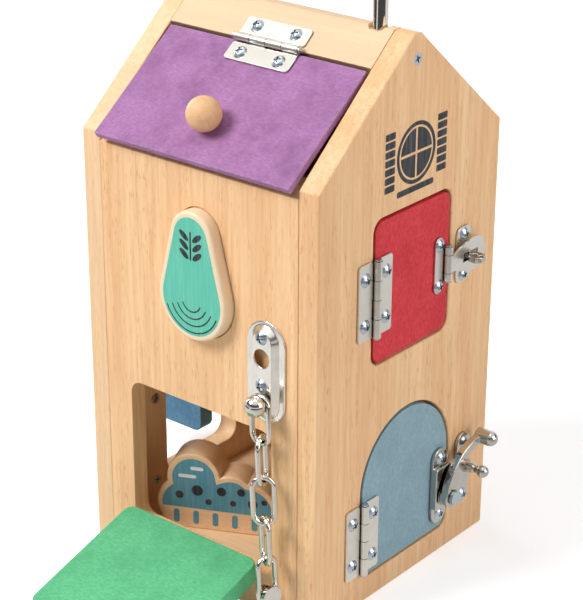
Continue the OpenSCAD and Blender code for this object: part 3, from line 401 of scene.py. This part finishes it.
def rubberwood(name, axis, offset, tone_and_shade=1.0, sapwood=0.0):
    """Sanded and lacquered pale hardwood: soft bands, fine streaks and short dark pores. Tone and
    shade scales its colour's brightness: partly the board's own tone, partly painted shade and
    light for how the lamps fall on it, as on the darker beam. Sapwood is how far that colour goes
    to cream."""
    wood = settings().wood
    material, tree, bsdf = shader(name)
    long_grain = along_grain(tree, axis, 0.045, offset)
    short_grain = along_grain(tree, axis, 0.13, offset)
    broad = noise(tree, long_grain, scale=62, detail=3, roughness=0.55, distortion=0.4)
    fine = noise(tree, long_grain, scale=430, detail=4, roughness=0.6)
    short = noise(tree, short_grain, scale=1300, detail=2, roughness=0.5)
    patches = noise(tree, long_grain, scale=150, detail=1)
    bands = span(tree, broad, 0.34, 0.66)
    streaks = span(tree, fine, 0.40, 0.66)
    pores = span(tree, short, 0.58, 0.70)
    clusters = span(tree, patches, 0.40, 0.62, to_low=0.12, to_high=0.62)
    middle, pale = ([channel * tone_and_shade for channel in shade] for shade in (wood.middle, wood.pale))
    colour = blend(tree, bands, middle, pale)
    colour = blend(tree, span(tree, streaks, 0, 1, to_low=0, to_high=0.46), colour, wood.dark)
    pore_share = tree.nodes.new("ShaderNodeMath")
    pore_share.operation = "MULTIPLY"
    tree.links.new(pores, pore_share.inputs[0])
    tree.links.new(clusters, pore_share.inputs[1])
    colour = blend(tree, pore_share.outputs[0], colour, wood.pore)
    if sapwood:
        colour = blend(tree, sapwood, colour, wood.cream)
    tree.links.new(colour, bsdf.inputs["Base Color"])
    sheen = span(tree, streaks, 0, 1, to_low=0.38, to_high=0.52)
    tree.links.new(sheen, bsdf.inputs["Roughness"])
    bsdf.inputs["Specular IOR Level"].default_value = 0.5
    bump(tree, bsdf, pores, strength=-0.10, distance=0.0002)
    return material


def worn_and_lit_edge(tree, patches, width):
    """How far a point on an edge is worn pale and lit by a painted highlight, from nought to one.
    """
    facing = tree.nodes.new("ShaderNodeNewGeometry")
    along = tree.nodes.new("ShaderNodeVectorMath")
    along.operation = "DOT_PRODUCT"
    tree.links.new(eased_normal(tree, width), along.inputs[0])
    tree.links.new(facing.outputs["True Normal"], along.inputs[1])
    worn_and_lit = tree.nodes.new("ShaderNodeMath")
    worn_and_lit.operation = "MULTIPLY"
    tree.links.new(span(tree, along.outputs["Value"], 0.99, 0.86), worn_and_lit.inputs[0])
    tree.links.new(span(tree, patches, 0.30, 0.62, to_low=0.2), worn_and_lit.inputs[1])
    return worn_and_lit.outputs[0]


def stained_board(name, colour, axis, offset, wear_and_highlight, mottle):
    """Fine-fibred board with a stain that takes unevenly and is worn pale along its edges, where a
    painted highlight lies as well. Mottle is how dark its blots are."""
    material, tree, bsdf = shader(name)
    grain = along_grain(tree, axis, 0.38, offset)
    fibres = noise(tree, grain, scale=1150, detail=4, roughness=0.65)
    place = object_coordinates(tree, offset=offset)
    specks = noise(tree, place, scale=2300, detail=2, roughness=0.6)
    blots = noise(tree, place, scale=52, detail=7, roughness=0.72)
    deep = [channel * 0.62 for channel in colour]
    bright = [channel + (1 - channel) * 0.10 for channel in colour]
    shade = blend(tree, span(tree, fibres, 0.34, 0.68), deep, bright)
    shade = blend(tree, span(tree, specks, 0.35, 0.70, to_low=0.30, to_high=0.70), shade, colour)
    shade = blend(tree, span(tree, blots, 0.42, 0.66, to_low=0, to_high=mottle), shade, deep)
    # Paler along the edges: partly worn stain, partly a painted highlight
    shade = blend(tree, worn_and_lit_edge(tree, fibres, WORN_AND_LIT_WIDTH), shade, [
        channel + (1 - channel) * wear_and_highlight for channel in colour])
    tree.links.new(shade, bsdf.inputs["Base Color"])
    sheen = span(tree, fibres, 0.3, 0.7, to_low=0.60, to_high=0.72)
    tree.links.new(sheen, bsdf.inputs["Roughness"])
    bsdf.inputs["Specular IOR Level"].default_value = 0.2
    bump(tree, bsdf, fibres, strength=0.08, distance=0.0002)
    return material


def plated(name, colour, low, high, grime_and_shade=0.0):
    """Plated metal whose roughness goes from low to high, with faint handling marks. Its last
    argument is how wide the dark in its recesses and where other parts touch it reaches, in metres:
    partly dirt, and partly painted shade."""
    material, tree, bsdf = shader(name)
    clouds = noise(tree, object_coordinates(tree), scale=160, detail=4, roughness=0.6)
    slanted = object_coordinates(tree, scale=(1, 0.2, 1), turn=(0.3, 0.5, 0.9))
    marks = noise(tree, slanted, scale=900, detail=3, roughness=0.7)
    dull = [channel * 0.93 for channel in colour]
    shade = blend(tree, span(tree, clouds, 0.35, 0.70), colour, dull)
    if grime_and_shade:
        # Painted shade, with some dirt, darkens the recesses and where other parts touch the metal,
        # nearly to black
        recess = tree.nodes.new("ShaderNodeAmbientOcclusion")
        recess.samples = 8
        recess.inputs["Distance"].default_value = grime_and_shade
        open_share = span(tree, recess.outputs["AO"], 0.35, 0.85)
        shade = blend(tree, open_share, (0.02, 0.02, 0.022), shade)
    tree.links.new(shade, bsdf.inputs["Base Color"])
    bsdf.inputs["Metallic"].default_value = 1
    polish = span(tree, clouds, 0.35, 0.70, to_low=low, to_high=high)
    tree.links.new(polish, bsdf.inputs["Roughness"])
    bump(tree, bsdf, marks, strength=0.01, distance=0.0001)
    return material


def printing_ink(name, colour):
    """A matt layer of ink that the wood's grain shows through a little."""
    material, tree, bsdf = shader(name)
    fibres = along_grain(tree, "Z", 0.06, (0.3, 0.1, 0.2))
    grain = noise(tree, fibres, scale=700, detail=3, roughness=0.6)
    thin = [channel + (1 - channel) * 0.10 for channel in colour]
    shade = blend(tree, span(tree, grain, 0.45, 0.72, to_low=0, to_high=0.8), colour, thin)
    tree.links.new(shade, bsdf.inputs["Base Color"])
    sheen = span(tree, grain, 0.3, 0.7, to_low=0.50, to_high=0.60)
    tree.links.new(sheen, bsdf.inputs["Roughness"])
    bsdf.inputs["Specular IOR Level"].default_value = 0.3
    return material


def ink_material(name, colour):
    """One ink of each name, shared by all the prints that use it."""
    return bpy.data.materials.get(name) or printing_ink(name, colour)


# Drawing motifs: shapes are drawn flat, u to the right and v up, and laid on a face afterwards

def disc(u, v, radius, stretch=1.0, turn=0.0):
    clear_selection()
    bpy.ops.mesh.primitive_circle_add(vertices=48, radius=radius, fill_type="NGON")
    shape = bpy.context.object
    shape.scale = (1, stretch, 1)
    shape.rotation_euler = (0, 0, turn)
    shape.location = (u, v, 0)
    bpy.ops.object.transform_apply()
    return shape


def ring(u, v, radius, width, below=None):
    """A ring, or the part of it under a height."""
    clear_selection()
    bpy.ops.mesh.primitive_circle_add(vertices=72, radius=radius, fill_type="NGON")
    shape = bpy.context.object
    bpy.ops.object.mode_set(mode="EDIT")
    bpy.ops.mesh.select_all(action="SELECT")
    bpy.ops.mesh.inset(thickness=width)
    bpy.ops.mesh.delete(type="FACE")
    if below is not None:
        bpy.ops.mesh.select_all(action="SELECT")
        bpy.ops.mesh.bisect(plane_co=(0, below, 0), plane_no=(0, 1, 0), clear_outer=True)
    bpy.ops.object.mode_set(mode="OBJECT")
    shape.location = (u, v, 0)
    bpy.ops.object.transform_apply()
    return shape


def pane(radius, half_bar, side_u, side_v):
    """A quarter of a round window, clear of the bars that cross it."""
    clear_selection()
    bpy.ops.mesh.primitive_circle_add(vertices=96, radius=radius, fill_type="NGON")
    shape = bpy.context.object
    bpy.ops.object.mode_set(mode="EDIT")
    for normal in ((side_u, 0, 0), (0, side_v, 0)):
        bpy.ops.mesh.select_all(action="SELECT")
        place = [half_bar * step for step in normal]
        bpy.ops.mesh.bisect(plane_co=place, plane_no=normal, clear_inner=True)
    bpy.ops.object.mode_set(mode="OBJECT")
    return shape


def bar(u, v, width, height, rounding):
    """A flat bar with rounded corners."""
    clear_selection()
    bpy.ops.mesh.primitive_plane_add(size=1)
    shape = bpy.context.object
    shape.scale = (width, height, 1)
    bpy.ops.object.transform_apply()
    bpy.ops.object.mode_set(mode="EDIT")
    bpy.ops.mesh.select_all(action="SELECT")
    bpy.ops.mesh.bevel(offset=rounding, offset_type="OFFSET", segments=5, affect="VERTICES")
    bpy.ops.object.mode_set(mode="OBJECT")
    shape.location = (u, v, 0)
    bpy.ops.object.transform_apply()
    return shape


def thicken(piece, depth):
    only(piece)
    skin = piece.modifiers.new("Thickness", "SOLIDIFY")
    skin.thickness = depth
    skin.offset = -1
    bpy.ops.object.modifier_apply(modifier=skin.name)


def lay_print(shapes, name, place, material, body, layer=1):
    """Joins flat shapes into one print, gives it the thickness of ink and lays it on a face."""
    clear_selection()
    for shape in shapes:
        shape.select_set(True)
    bpy.context.view_layer.objects.active = shapes[0]
    if len(shapes) > 1:
        bpy.ops.object.join()
    piece = bpy.context.object
    piece.name = name
    lift = settings().prints.lift
    thicken(piece, lift)
    piece.matrix_world = place @ Matrix.Translation((0, 0, lift * layer))
    bpy.ops.object.transform_apply()
    dress(piece, material, body)


def front_face(piece):
    """The largest face of a blank that looks to the front: its index, normal, centre, lowest and
    highest height."""
    faces = [face for face in piece.data.polygons if face.normal.y < -0.5]
    face = max(faces, key=lambda item: item.area)
    corners = [piece.data.vertices[index].co for index in face.vertices]
    lows = [min(corner[axis] for corner in corners) for axis in range(3)]
    highs = [max(corner[axis] for corner in corners) for axis in range(3)]
    centre = Vector([(low + high) / 2 for low, high in zip(lows, highs)])
    return face.index, face.normal.copy(), centre, lows[2], highs[2]


def face_place(origin, normal):
    """The frame of a print on an upright face: u to the right of someone who looks at it, v up."""
    across = Vector((0, 0, 1)).cross(normal).normalized()
    upward = normal.cross(across)
    turn = Matrix((across, upward, normal)).transposed().to_4x4()
    return Matrix.Translation(origin) @ turn


def field_of(node, name, margin):
    """A flat copy of a blank's front face, drawn in by a margin, in the frame of that face."""
    piece = merged_copy(node, name)
    index, normal, centre, low, high = front_face(piece)
    place = face_place(Vector((centre.x, centre.y, low)), normal)
    only(piece)
    bpy.ops.object.mode_set(mode="EDIT")
    bpy.ops.mesh.select_mode(type="FACE")
    bpy.ops.mesh.select_all(action="SELECT")
    mesh = bmesh.from_edit_mesh(piece.data)
    mesh.faces.ensure_lookup_table()
    mesh.faces[index].select_set(False)
    bpy.ops.mesh.delete(type="FACE")
    bpy.ops.mesh.select_all(action="SELECT")
    bpy.ops.mesh.inset(thickness=margin)
    bpy.ops.mesh.select_all(action="INVERT")
    bpy.ops.mesh.delete(type="FACE")
    bpy.ops.object.mode_set(mode="OBJECT")
    piece.matrix_world = place.inverted()
    bpy.ops.object.transform_apply()
    return piece, place, high - low


# Pieces

class LOCKBOX_OT_boards(bpy.types.Operator):
    """Finish the bare boards of the box with rounded edges and grain"""
    bl_idname = "lock_box.boards"
    bl_label = "Bare boards"

    def execute(self, context):
        wood = settings().wood
        # Node, grain, tone and painted shade, and share of sapwood
        boards = (
            ("left_gable", "Z", 1.00, 0.25),
            ("right_gable", "Z", 0.98, 0.0),
            ("front_panel", "Z", 1.02, 0.0),
            ("back_panel", "Z", 0.99, 0.25),
            ("floor_board", "X", 0.96, 0.35),
            ("middle_shelf", "X", 0.98, 0.35),
            # The beam's wood is darkened as painted shade, against the strong light from above
            ("ridge_beam", "X", 0.78, 0.45),
            ("back_roof_panel", "X", 1.00, 0.10),
        )
        for index, (node, axis, tone_and_shade, sapwood) in enumerate(boards):
            offset = [step * index for step in BOARD_SHIFT]
            material = rubberwood("rubberwood_" + node, axis, offset, tone_and_shade, sapwood)
            edge = wood.crisp_edge if node in ("ridge_beam", "front_panel") else wood.edge
            softened_node(node, node + "_wood", edge, material)
        return {"FINISHED"}


class LOCKBOX_OT_doors(bpy.types.Operator):
    """Finish the lid, the doors and the flap as stained boards"""
    bl_idname = "lock_box.doors"
    bl_label = "Lid, doors and flap"

    def execute(self, context):
        boards = settings().boards
        # Node, stain, grain, rounding, worn paleness and painted highlight of the edges, and depth
        # of the blots
        doors = (
            # The lid's edges are made far paler than the rest, partly worn and partly a painted
            # highlight
            ("lid_panel", boards.purple, "X", boards.lid_edge, 0.50, 0.85),
            ("red_door_panel", boards.red, "Z", boards.edge, 0.06, 0.45),
            ("arch_door_panel", boards.blue, "Z", boards.edge, 0.10, 0.45),
            ("left_door_panel", boards.dark_blue, "Z", boards.edge, 0.10, 0.55),
            ("flap_panel", boards.green, "X", boards.lid_edge, 0.05, 0.55),
        )
        for index, (node, colour, axis, edge, wear_and_highlight, mottle) in enumerate(doors):
            offset = [step * index for step in DOOR_SHIFT]
            material = stained_board("stain_" + node, colour, axis, offset, wear_and_highlight, mottle)
            softened_node(node, node + "_board", edge, material)
        return {"FINISHED"}


class LOCKBOX_OT_knob(bpy.types.Operator):
    """Finish the turned knob of the lid"""
    bl_idname = "lock_box.knob"
    bl_label = "Lid knob"

    def execute(self, context):
        wood = rubberwood("rubberwood_knob", "X", (0.7, 0.2, 0.4), tone_and_shade=0.87)
        smooth_node("lid_knob", "lid_knob_turned", wood)
        return {"FINISHED"}


class LOCKBOX_OT_plates(bpy.types.Operator):
    """Finish the hinge leaves and the flat plates of the locks"""
    bl_idname = "lock_box.plates"
    bl_label = "Hinges and lock plates"

    def execute(self, context):
        metal = settings().metal
        nickel = plated("nickel_plate", metal.nickel, low=0.28, high=0.34, grime_and_shade=0.0014)
        plates = [
            owner + "_frame_leaf" for owner in ("lid", "red", "arch", "left", "flap")
        ] + [
            owner + "_leaf" for owner in ("lid", "red", "arch", "left", "flap")
        ] + ["staple_plate", "hasp_plate", "hasp_leaf", "bolt_guide", "bolt_keeper", "chain_track"]
        for node in plates:
            softened_node(node, node + "_plate", metal.edge, nickel, segments=2)
        return {"FINISHED"}


class LOCKBOX_OT_castings(bpy.types.Operator):
    """Finish the cast latch, its strike and the turning staple"""
    bl_idname = "lock_box.castings"
    bl_label = "Latch and staple"

    def execute(self, context):
        metal = settings().metal
        shaded = [channel * metal.cast_shade for channel in metal.nickel]
        nickel = plated("nickel_cast", shaded, low=0.10, high=0.18, grime_and_shade=0.0016)
        for node in ("latch_base", "latch_arm", "strike_plate", "swivel_staple"):
            cast_node(node, node + "_casting", metal.cast_grain, nickel)
        return {"FINISHED"}


class LOCKBOX_OT_chain(bpy.types.Operator):
    """Finish the chain, its bracket and its button"""
    bl_idname = "lock_box.chain"
    bl_label = "Chain and bracket"

    def execute(self, context):
        metal = settings().metal
        shaded = [channel * metal.chain_shade for channel in metal.nickel]
        nickel = plated("nickel_chain", shaded, low=0.07, high=0.15, grime_and_shade=0.0014)
        pressed = plated("nickel_pressed", metal.bright, low=0.20, high=0.26)
        cast_node(
            "chain_bracket", "chain_bracket_pressing", metal.cast_grain, pressed, PRESS_ROUNDS)
        softened_node("chain_button", "chain_button_turned", metal.edge * 2, nickel)
        smooth_node("chain_stud", "chain_stud_turned", nickel)
        for index in range(1, LINKS + 1):
            smooth_node("chain_link_%d" % index, "chain_link_%d_wire" % index, nickel)
        return {"FINISHED"}


class LOCKBOX_OT_handle(bpy.types.Operator):
    """Finish the bent rod handle"""
    bl_idname = "lock_box.handle"
    bl_label = "Carrying handle"

    def execute(self, context):
        nickel = plated("nickel_rod", settings().metal.nickel, low=0.08, high=0.16)
        smooth_node("carry_handle", "carry_handle_rod", nickel)
        return {"FINISHED"}


class LOCKBOX_OT_fasteners(bpy.types.Operator):
    """Finish the screws, the pins and the sliding bolt"""
    bl_idname = "lock_box.fasteners"
    bl_label = "Screws and pins"

    def execute(self, context):
        zinc = plated("zinc_screws", settings().metal.zinc, low=0.24, high=0.34, grime_and_shade=0.0009)
        fasteners = (
            "sunk_screws", "handle_screws", "hinge_pins", "frame_leaf_screws", "lock_plate_screws",
            "lid_screws", "knob_screw", "red_door_screws", "hasp_pin", "arch_door_screws",
            "latch_pivot", "left_door_screws", "flap_screws", "bolt_rod",
        )
        for node in fasteners:
            smooth_node(node, node + "_zinc", zinc)
        return {"FINISHED"}


class LOCKBOX_OT_window_print(bpy.types.Operator):
    """Print a round attic window with shutters on the right gable"""
    bl_idname = "lock_box.window_print"
    bl_label = "Window motif"

    def execute(self, context):
        prints = settings().prints
        radius = prints.window_r
        ink = ink_material("ink_dark", prints.ink)
        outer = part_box("right_gable")[1].x
        place = face_place(Vector((outer, prints.window_y, prints.window_z)), Vector((1, 0, 0)))
        shapes = [ring(0, 0, radius, radius * 0.13)]
        for side_u in (-1, 1):
            for side_v in (-1, 1):
                shapes.append(pane(radius * 0.80, radius * 0.045, side_u, side_v))
        shapes.append(bar(0, -1.16 * radius, 1.9 * radius, radius * 0.2, radius * 0.07))
        slats = 7
        for side in (-1, 1):
            for step in range(slats):
                height = (step - (slats - 1) / 2) * 0.28 * radius
                shapes.append(bar(
                    side * 1.34 * radius, height, 0.5 * radius, 0.22 * radius, 0.04 * radius))
        lay_print(shapes, "window_motif", place, ink, "carcass")
        return {"FINISHED"}


class LOCKBOX_OT_pear(bpy.types.Operator):
    """Make the pear piece: a bare wooden blank with a printed front"""
    bl_idname = "lock_box.pear"
    bl_label = "Pear piece"

    def execute(self, context):
        prints = settings().prints
        wood = rubberwood("rubberwood_pear", "Z", (1.9, 0.3, 0.8), sapwood=0.85)
        softened_node("pear_piece", "pear_blank", settings().wood.pear_edge, wood, segments=4)
        field, place, height = field_of("pear_piece", "pear_field", prints.margin)
        lay_print([field], "pear_print", place, ink_material("ink_teal", prints.teal), "pear")
        strokes = []
        line = height * 0.011
        belly = height * 0.32
        for step in range(4):
            radius = belly * (0.30 + 0.17 * step)
            strokes.append(ring(0, belly, radius, line, below=-radius * 0.35))
        strokes.append(bar(0, height * 0.74, line * 1.4, height * 0.22, line * 0.5))
        for side in (-1, 1):
            for step in range(3):
                strokes.append(disc(
                    side * height * 0.062, height * (0.67 + 0.07 * step), height * 0.052, 0.42,
                    side * math.radians(38)))
        dark = ink_material("ink_dark", prints.ink)
        lay_print(strokes, "pear_strokes", place, dark, "pear", layer=2)
        return {"FINISHED"}


class LOCKBOX_OT_cloud(bpy.types.Operator):
    """Make the cloud block: a bare wooden blank with a printed front"""
    bl_idname = "lock_box.cloud"
    bl_label = "Cloud block"

    def execute(self, context):
        prints = settings().prints
        wood = rubberwood("rubberwood_cloud", "X", (2.3, 0.9, 0.1), sapwood=0.30)
        softened_node("cloud_block", "cloud_blank", settings().wood.cloud_edge, wood, segments=4)
        field, place, height = field_of("cloud_block", "cloud_field", prints.margin)
        only(field)
        bpy.ops.object.mode_set(mode="EDIT")
        bpy.ops.mesh.select_all(action="SELECT")
        rain_top = height * 0.27
        bpy.ops.mesh.bisect(plane_co=(0, rain_top, 0), plane_no=(0, -1, 0), clear_outer=True)
        bpy.ops.object.mode_set(mode="OBJECT")
        drops = [field]
        for step in range(5):
            drops.append(bar(
                height * (0.24 * step - 0.50), height * 0.15, height * 0.07, height * 0.18,
                height * 0.03))
        sky = ink_material("ink_sky", prints.sky)
        lay_print(drops, "cloud_print", place, sky, "cloud")
        dark = ink_material("ink_dark", prints.ink)
        # Place and radius of each spot, as shares of the block's height
        spots = (
            (-0.46, 0.44, 0.050), (-0.24, 0.52, 0.070), (-0.10, 0.38, 0.040), (0.06, 0.54, 0.058),
            (0.20, 0.40, 0.038), (0.30, 0.56, 0.050), (0.44, 0.42, 0.060), (0.58, 0.46, 0.036),
        )
        dots = [disc(height * u, height * v, height * r) for u, v, r in spots]
        lay_print(dots, "cloud_spots", place, dark, "cloud", layer=2)
        pale = ink_material("ink_pale", prints.white)
        strokes = [
            bar(-height * u, height * v, height * width, height * 0.045, height * 0.02)
            for u, v, width in ((0.36, 0.70, 0.22), (0.24, 0.81, 0.16))
        ]
        lay_print(strokes, "cloud_strokes", place, pale, "cloud", layer=2)
        return {"FINISHED"}


# Studio

def ray_kind(tree, *names):
    """One for rays of any of these kinds, and nought for the rest."""
    path = tree.nodes.new("ShaderNodeLightPath")
    total = path.outputs[names[0]]
    for name in names[1:]:
        either = tree.nodes.new("ShaderNodeMath")
        either.operation = "MAXIMUM"
        tree.links.new(total, either.inputs[0])
        tree.links.new(path.outputs[name], either.inputs[1])
        total = either.outputs[0]
    return total


def pick_shader(tree, factor, first, second):
    mix = tree.nodes.new("ShaderNodeMixShader")
    tree.links.new(factor, mix.inputs[0])
    tree.links.new(first, mix.inputs[1])
    tree.links.new(second, mix.inputs[2])
    return mix.outputs[0]


def mirrored_floor(tree):
    """The floor as metal sees it: white paper near the box, greyer to its right as a painted shadow
    of the box, and beyond the paper a dim room in front with one bright strip, a pale right side
    and a white wall behind."""
    place = object_coordinates(tree)
    apart = tree.nodes.new("ShaderNodeVectorMath")
    apart.operation = "LENGTH"
    tree.links.new(place, apart.inputs[0])
    split = tree.nodes.new("ShaderNodeSeparateXYZ")
    tree.links.new(place, split.inputs[0])
    # Painted shadow of the box: the paper that metal mirrors turns greyer to the box's right
    paper = blend(
        tree, span(tree, split.outputs["X"], -0.05, 0.16), (0.94, 0.94, 0.94), (0.72, 0.71, 0.69))
    heading = tree.nodes.new("ShaderNodeVectorMath")
    heading.operation = "NORMALIZE"
    tree.links.new(object_coordinates(tree, turn=(0, 0, ROOM_TURN)), heading.inputs[0])
    sides = tree.nodes.new("ShaderNodeSeparateXYZ")
    tree.links.new(heading.outputs[0], sides.inputs[0])
    to_right, to_back = sides.outputs["X"], sides.outputs["Y"]
    room = blend(tree, span(tree, to_right, 0.93, 0.98), (0.07, 0.07, 0.075), (0.85, 0.86, 0.88))
    strip = tree.nodes.new("ShaderNodeMath")
    strip.operation = "COMPARE"
    tree.links.new(to_right, strip.inputs[0])
    strip.inputs[1].default_value = STRIP_AT
    strip.inputs[2].default_value = STRIP_REACH
    room = blend(tree, strip.outputs[0], room, (0.95, 0.95, 0.95))
    room = blend(tree, span(tree, to_back, 0.25, 0.50), room, (1, 1, 1))
    return blend(tree, span(tree, apart.outputs["Value"], *PAPER_END), paper, room)


def paper_floor():
    """White paper around a soft shadow, which metal sees with a room around it."""
    material, tree, bsdf = shader("studio_paper")
    output = tree.nodes["Material Output"]
    fibres = noise(tree, object_coordinates(tree), scale=220, detail=3, roughness=0.6)
    tone = blend(tree, span(tree, fibres, 0.3, 0.7), (0.78, 0.78, 0.78), (0.80, 0.80, 0.80))
    tree.links.new(tone, bsdf.inputs["Base Color"])
    bsdf.inputs["Roughness"].default_value = 0.9
    bsdf.inputs["Specular IOR Level"].default_value = 0.0
    lit = tree.nodes.new("ShaderNodeBsdfDiffuse")
    lit.inputs["Color"].default_value = (0.80, 0.80, 0.81, 1)
    glow = tree.nodes.new("ShaderNodeEmission")
    glow.inputs["Strength"].default_value = 0.50
    both = tree.nodes.new("ShaderNodeAddShader")
    tree.links.new(lit.outputs[0], both.inputs[0])
    tree.links.new(glow.outputs[0], both.inputs[1])
    mirrored = tree.nodes.new("ShaderNodeEmission")
    tree.links.new(mirrored_floor(tree), mirrored.inputs["Color"])
    shown = pick_shader(tree, ray_kind(tree, "Is Camera Ray"), bsdf.outputs[0], both.outputs[0])
    in_metal = ray_kind(tree, "Is Glossy Ray", "Is Transmission Ray")
    surface = pick_shader(tree, in_metal, shown, mirrored.outputs[0])
    tree.links.new(surface, output.inputs["Surface"])
    return material


def studio_world(ambient):
    """White to the camera, even light on the object, and for metal a dim room under a bright
    ceiling."""
    world = bpy.data.worlds.new("studio")
    world.use_nodes = True
    tree = world.node_tree
    tree.nodes.clear()
    output = tree.nodes.new("ShaderNodeOutputWorld")
    even = tree.nodes.new("ShaderNodeBackground")
    even.inputs["Strength"].default_value = ambient
    white = tree.nodes.new("ShaderNodeBackground")
    white.inputs["Color"].default_value = (1, 1, 1, 1)
    room = tree.nodes.new("ShaderNodeBackground")
    direction = tree.nodes.new("ShaderNodeTexCoord")
    split = tree.nodes.new("ShaderNodeSeparateXYZ")
    tree.links.new(direction.outputs["Generated"], split.inputs[0])
    height = split.outputs["Z"]
    wall = blend(tree, span(tree, height, 0.06, 0.22), (0.9, 0.9, 0.9), (0.10, 0.10, 0.105))
    ceiling = blend(tree, span(tree, height, 0.52, 0.70), wall, (0.95, 0.95, 0.95))
    behind = tree.nodes.new("ShaderNodeVectorMath")
    behind.operation = "DOT_PRODUCT"
    tree.links.new(direction.outputs["Generated"], behind.inputs[0])
    behind.inputs[1].default_value = WALL_SIDE
    backdrop = blend(tree, span(tree, behind.outputs["Value"], 0.45, 0.70), ceiling, (1, 1, 1))
    tree.links.new(backdrop, room.inputs["Color"])
    shown = pick_shader(tree, ray_kind(tree, "Is Camera Ray"), even.outputs[0], white.outputs[0])
    in_metal = ray_kind(tree, "Is Glossy Ray", "Is Transmission Ray")
    tree.links.new(pick_shader(tree, in_metal, shown, room.outputs[0]), output.inputs["Surface"])
    return world


def soft_light(name, place, target, size, power):
    clear_selection()
    bpy.ops.object.light_add(type="AREA", location=place)
    lamp = bpy.context.object
    lamp.name = name
    lamp.data.size = size
    lamp.data.energy = power
    aim = Vector(target) - Vector(place)
    lamp.rotation_euler = aim.to_track_quat("-Z", "Y").to_euler()


class LOCKBOX_OT_stage(bpy.types.Operator):
    """Set up the floor, the lights and the camera"""
    bl_idname = "lock_box.stage"
    bl_label = "Studio"

    def execute(self, context):
        stage = settings().stage
        scene = context.scene
        clear_selection()
        bpy.ops.mesh.primitive_plane_add(size=stage.floor_size)
        floor = context.object
        floor.name = "paper_floor"
        floor.data.materials.append(paper_floor())
        scene.world = studio_world(stage.ambient)
        for lamp, (place, size) in LAMPS.items():
            soft_light(lamp + "_light", place, AIM, size, getattr(stage, lamp))
        clear_selection()
        bpy.ops.object.camera_add(location=stage.camera_at)
        camera = context.object
        camera.name = "photo_camera"
        forward = Vector(stage.camera_to).normalized()
        right = forward.cross(Vector((0, 0, 1))).normalized()
        upward = right.cross(forward)
        level = Matrix((right, upward, -forward)).transposed().to_4x4()
        roll = Matrix.Rotation(stage.roll, 4, "Z")
        camera.matrix_world = Matrix.Translation(stage.camera_at) @ level @ roll
        camera.data.sensor_fit = "HORIZONTAL"
        camera.data.sensor_width = SENSOR
        camera.data.lens = stage.lens
        camera.data.clip_end = FAR
        scene.camera = camera
        scene.view_settings.view_transform = "Standard"
        return {"FINISHED"}


class LockBoxSettings(bpy.types.PropertyGroup):
    """All that a user would change"""
    wood: PointerProperty(type=LockBoxWood)
    boards: PointerProperty(type=LockBoxBoards)
    metal: PointerProperty(type=LockBoxMetal)
    prints: PointerProperty(type=LockBoxPrints)
    stage: PointerProperty(type=LockBoxStage)


OPERATORS = (
    LOCKBOX_OT_stage, LOCKBOX_OT_boards, LOCKBOX_OT_doors, LOCKBOX_OT_knob, LOCKBOX_OT_plates,
    LOCKBOX_OT_castings, LOCKBOX_OT_chain, LOCKBOX_OT_handle, LOCKBOX_OT_fasteners,
    LOCKBOX_OT_window_print, LOCKBOX_OT_pear, LOCKBOX_OT_cloud,
)


class LOCKBOX_PT_panel(bpy.types.Panel):
    """Settings and steps of the lock box"""
    bl_label = "Lock Box"
    bl_idname = "LOCKBOX_PT_panel"
    bl_space_type = "VIEW_3D"
    bl_region_type = "UI"
    bl_category = "Lock Box"

    def draw(self, context):
        for operator in OPERATORS:
            self.layout.operator(operator.bl_idname)
        chosen = settings()
        for group in (chosen.wood, chosen.boards, chosen.metal, chosen.prints, chosen.stage):
            box = self.layout.box()
            for name in group.__annotations__:
                box.prop(group, name)


CLASSES = (
    LockBoxWood, LockBoxBoards, LockBoxMetal, LockBoxPrints, LockBoxStage, LockBoxSettings,
    *OPERATORS, LOCKBOX_PT_panel,
)


def register():
    for item in CLASSES:
        bpy.utils.register_class(item)
    bpy.types.Scene.lock_box = PointerProperty(type=LockBoxSettings)


def unregister():
    del bpy.types.Scene.lock_box
    for item in reversed(CLASSES):
        bpy.utils.unregister_class(item)


def main():
    register()
    for operator in OPERATORS:
        group, name = operator.bl_idname.split(".")
        getattr(getattr(bpy.ops, group), name)()


if __name__ == "__main__":
    main()
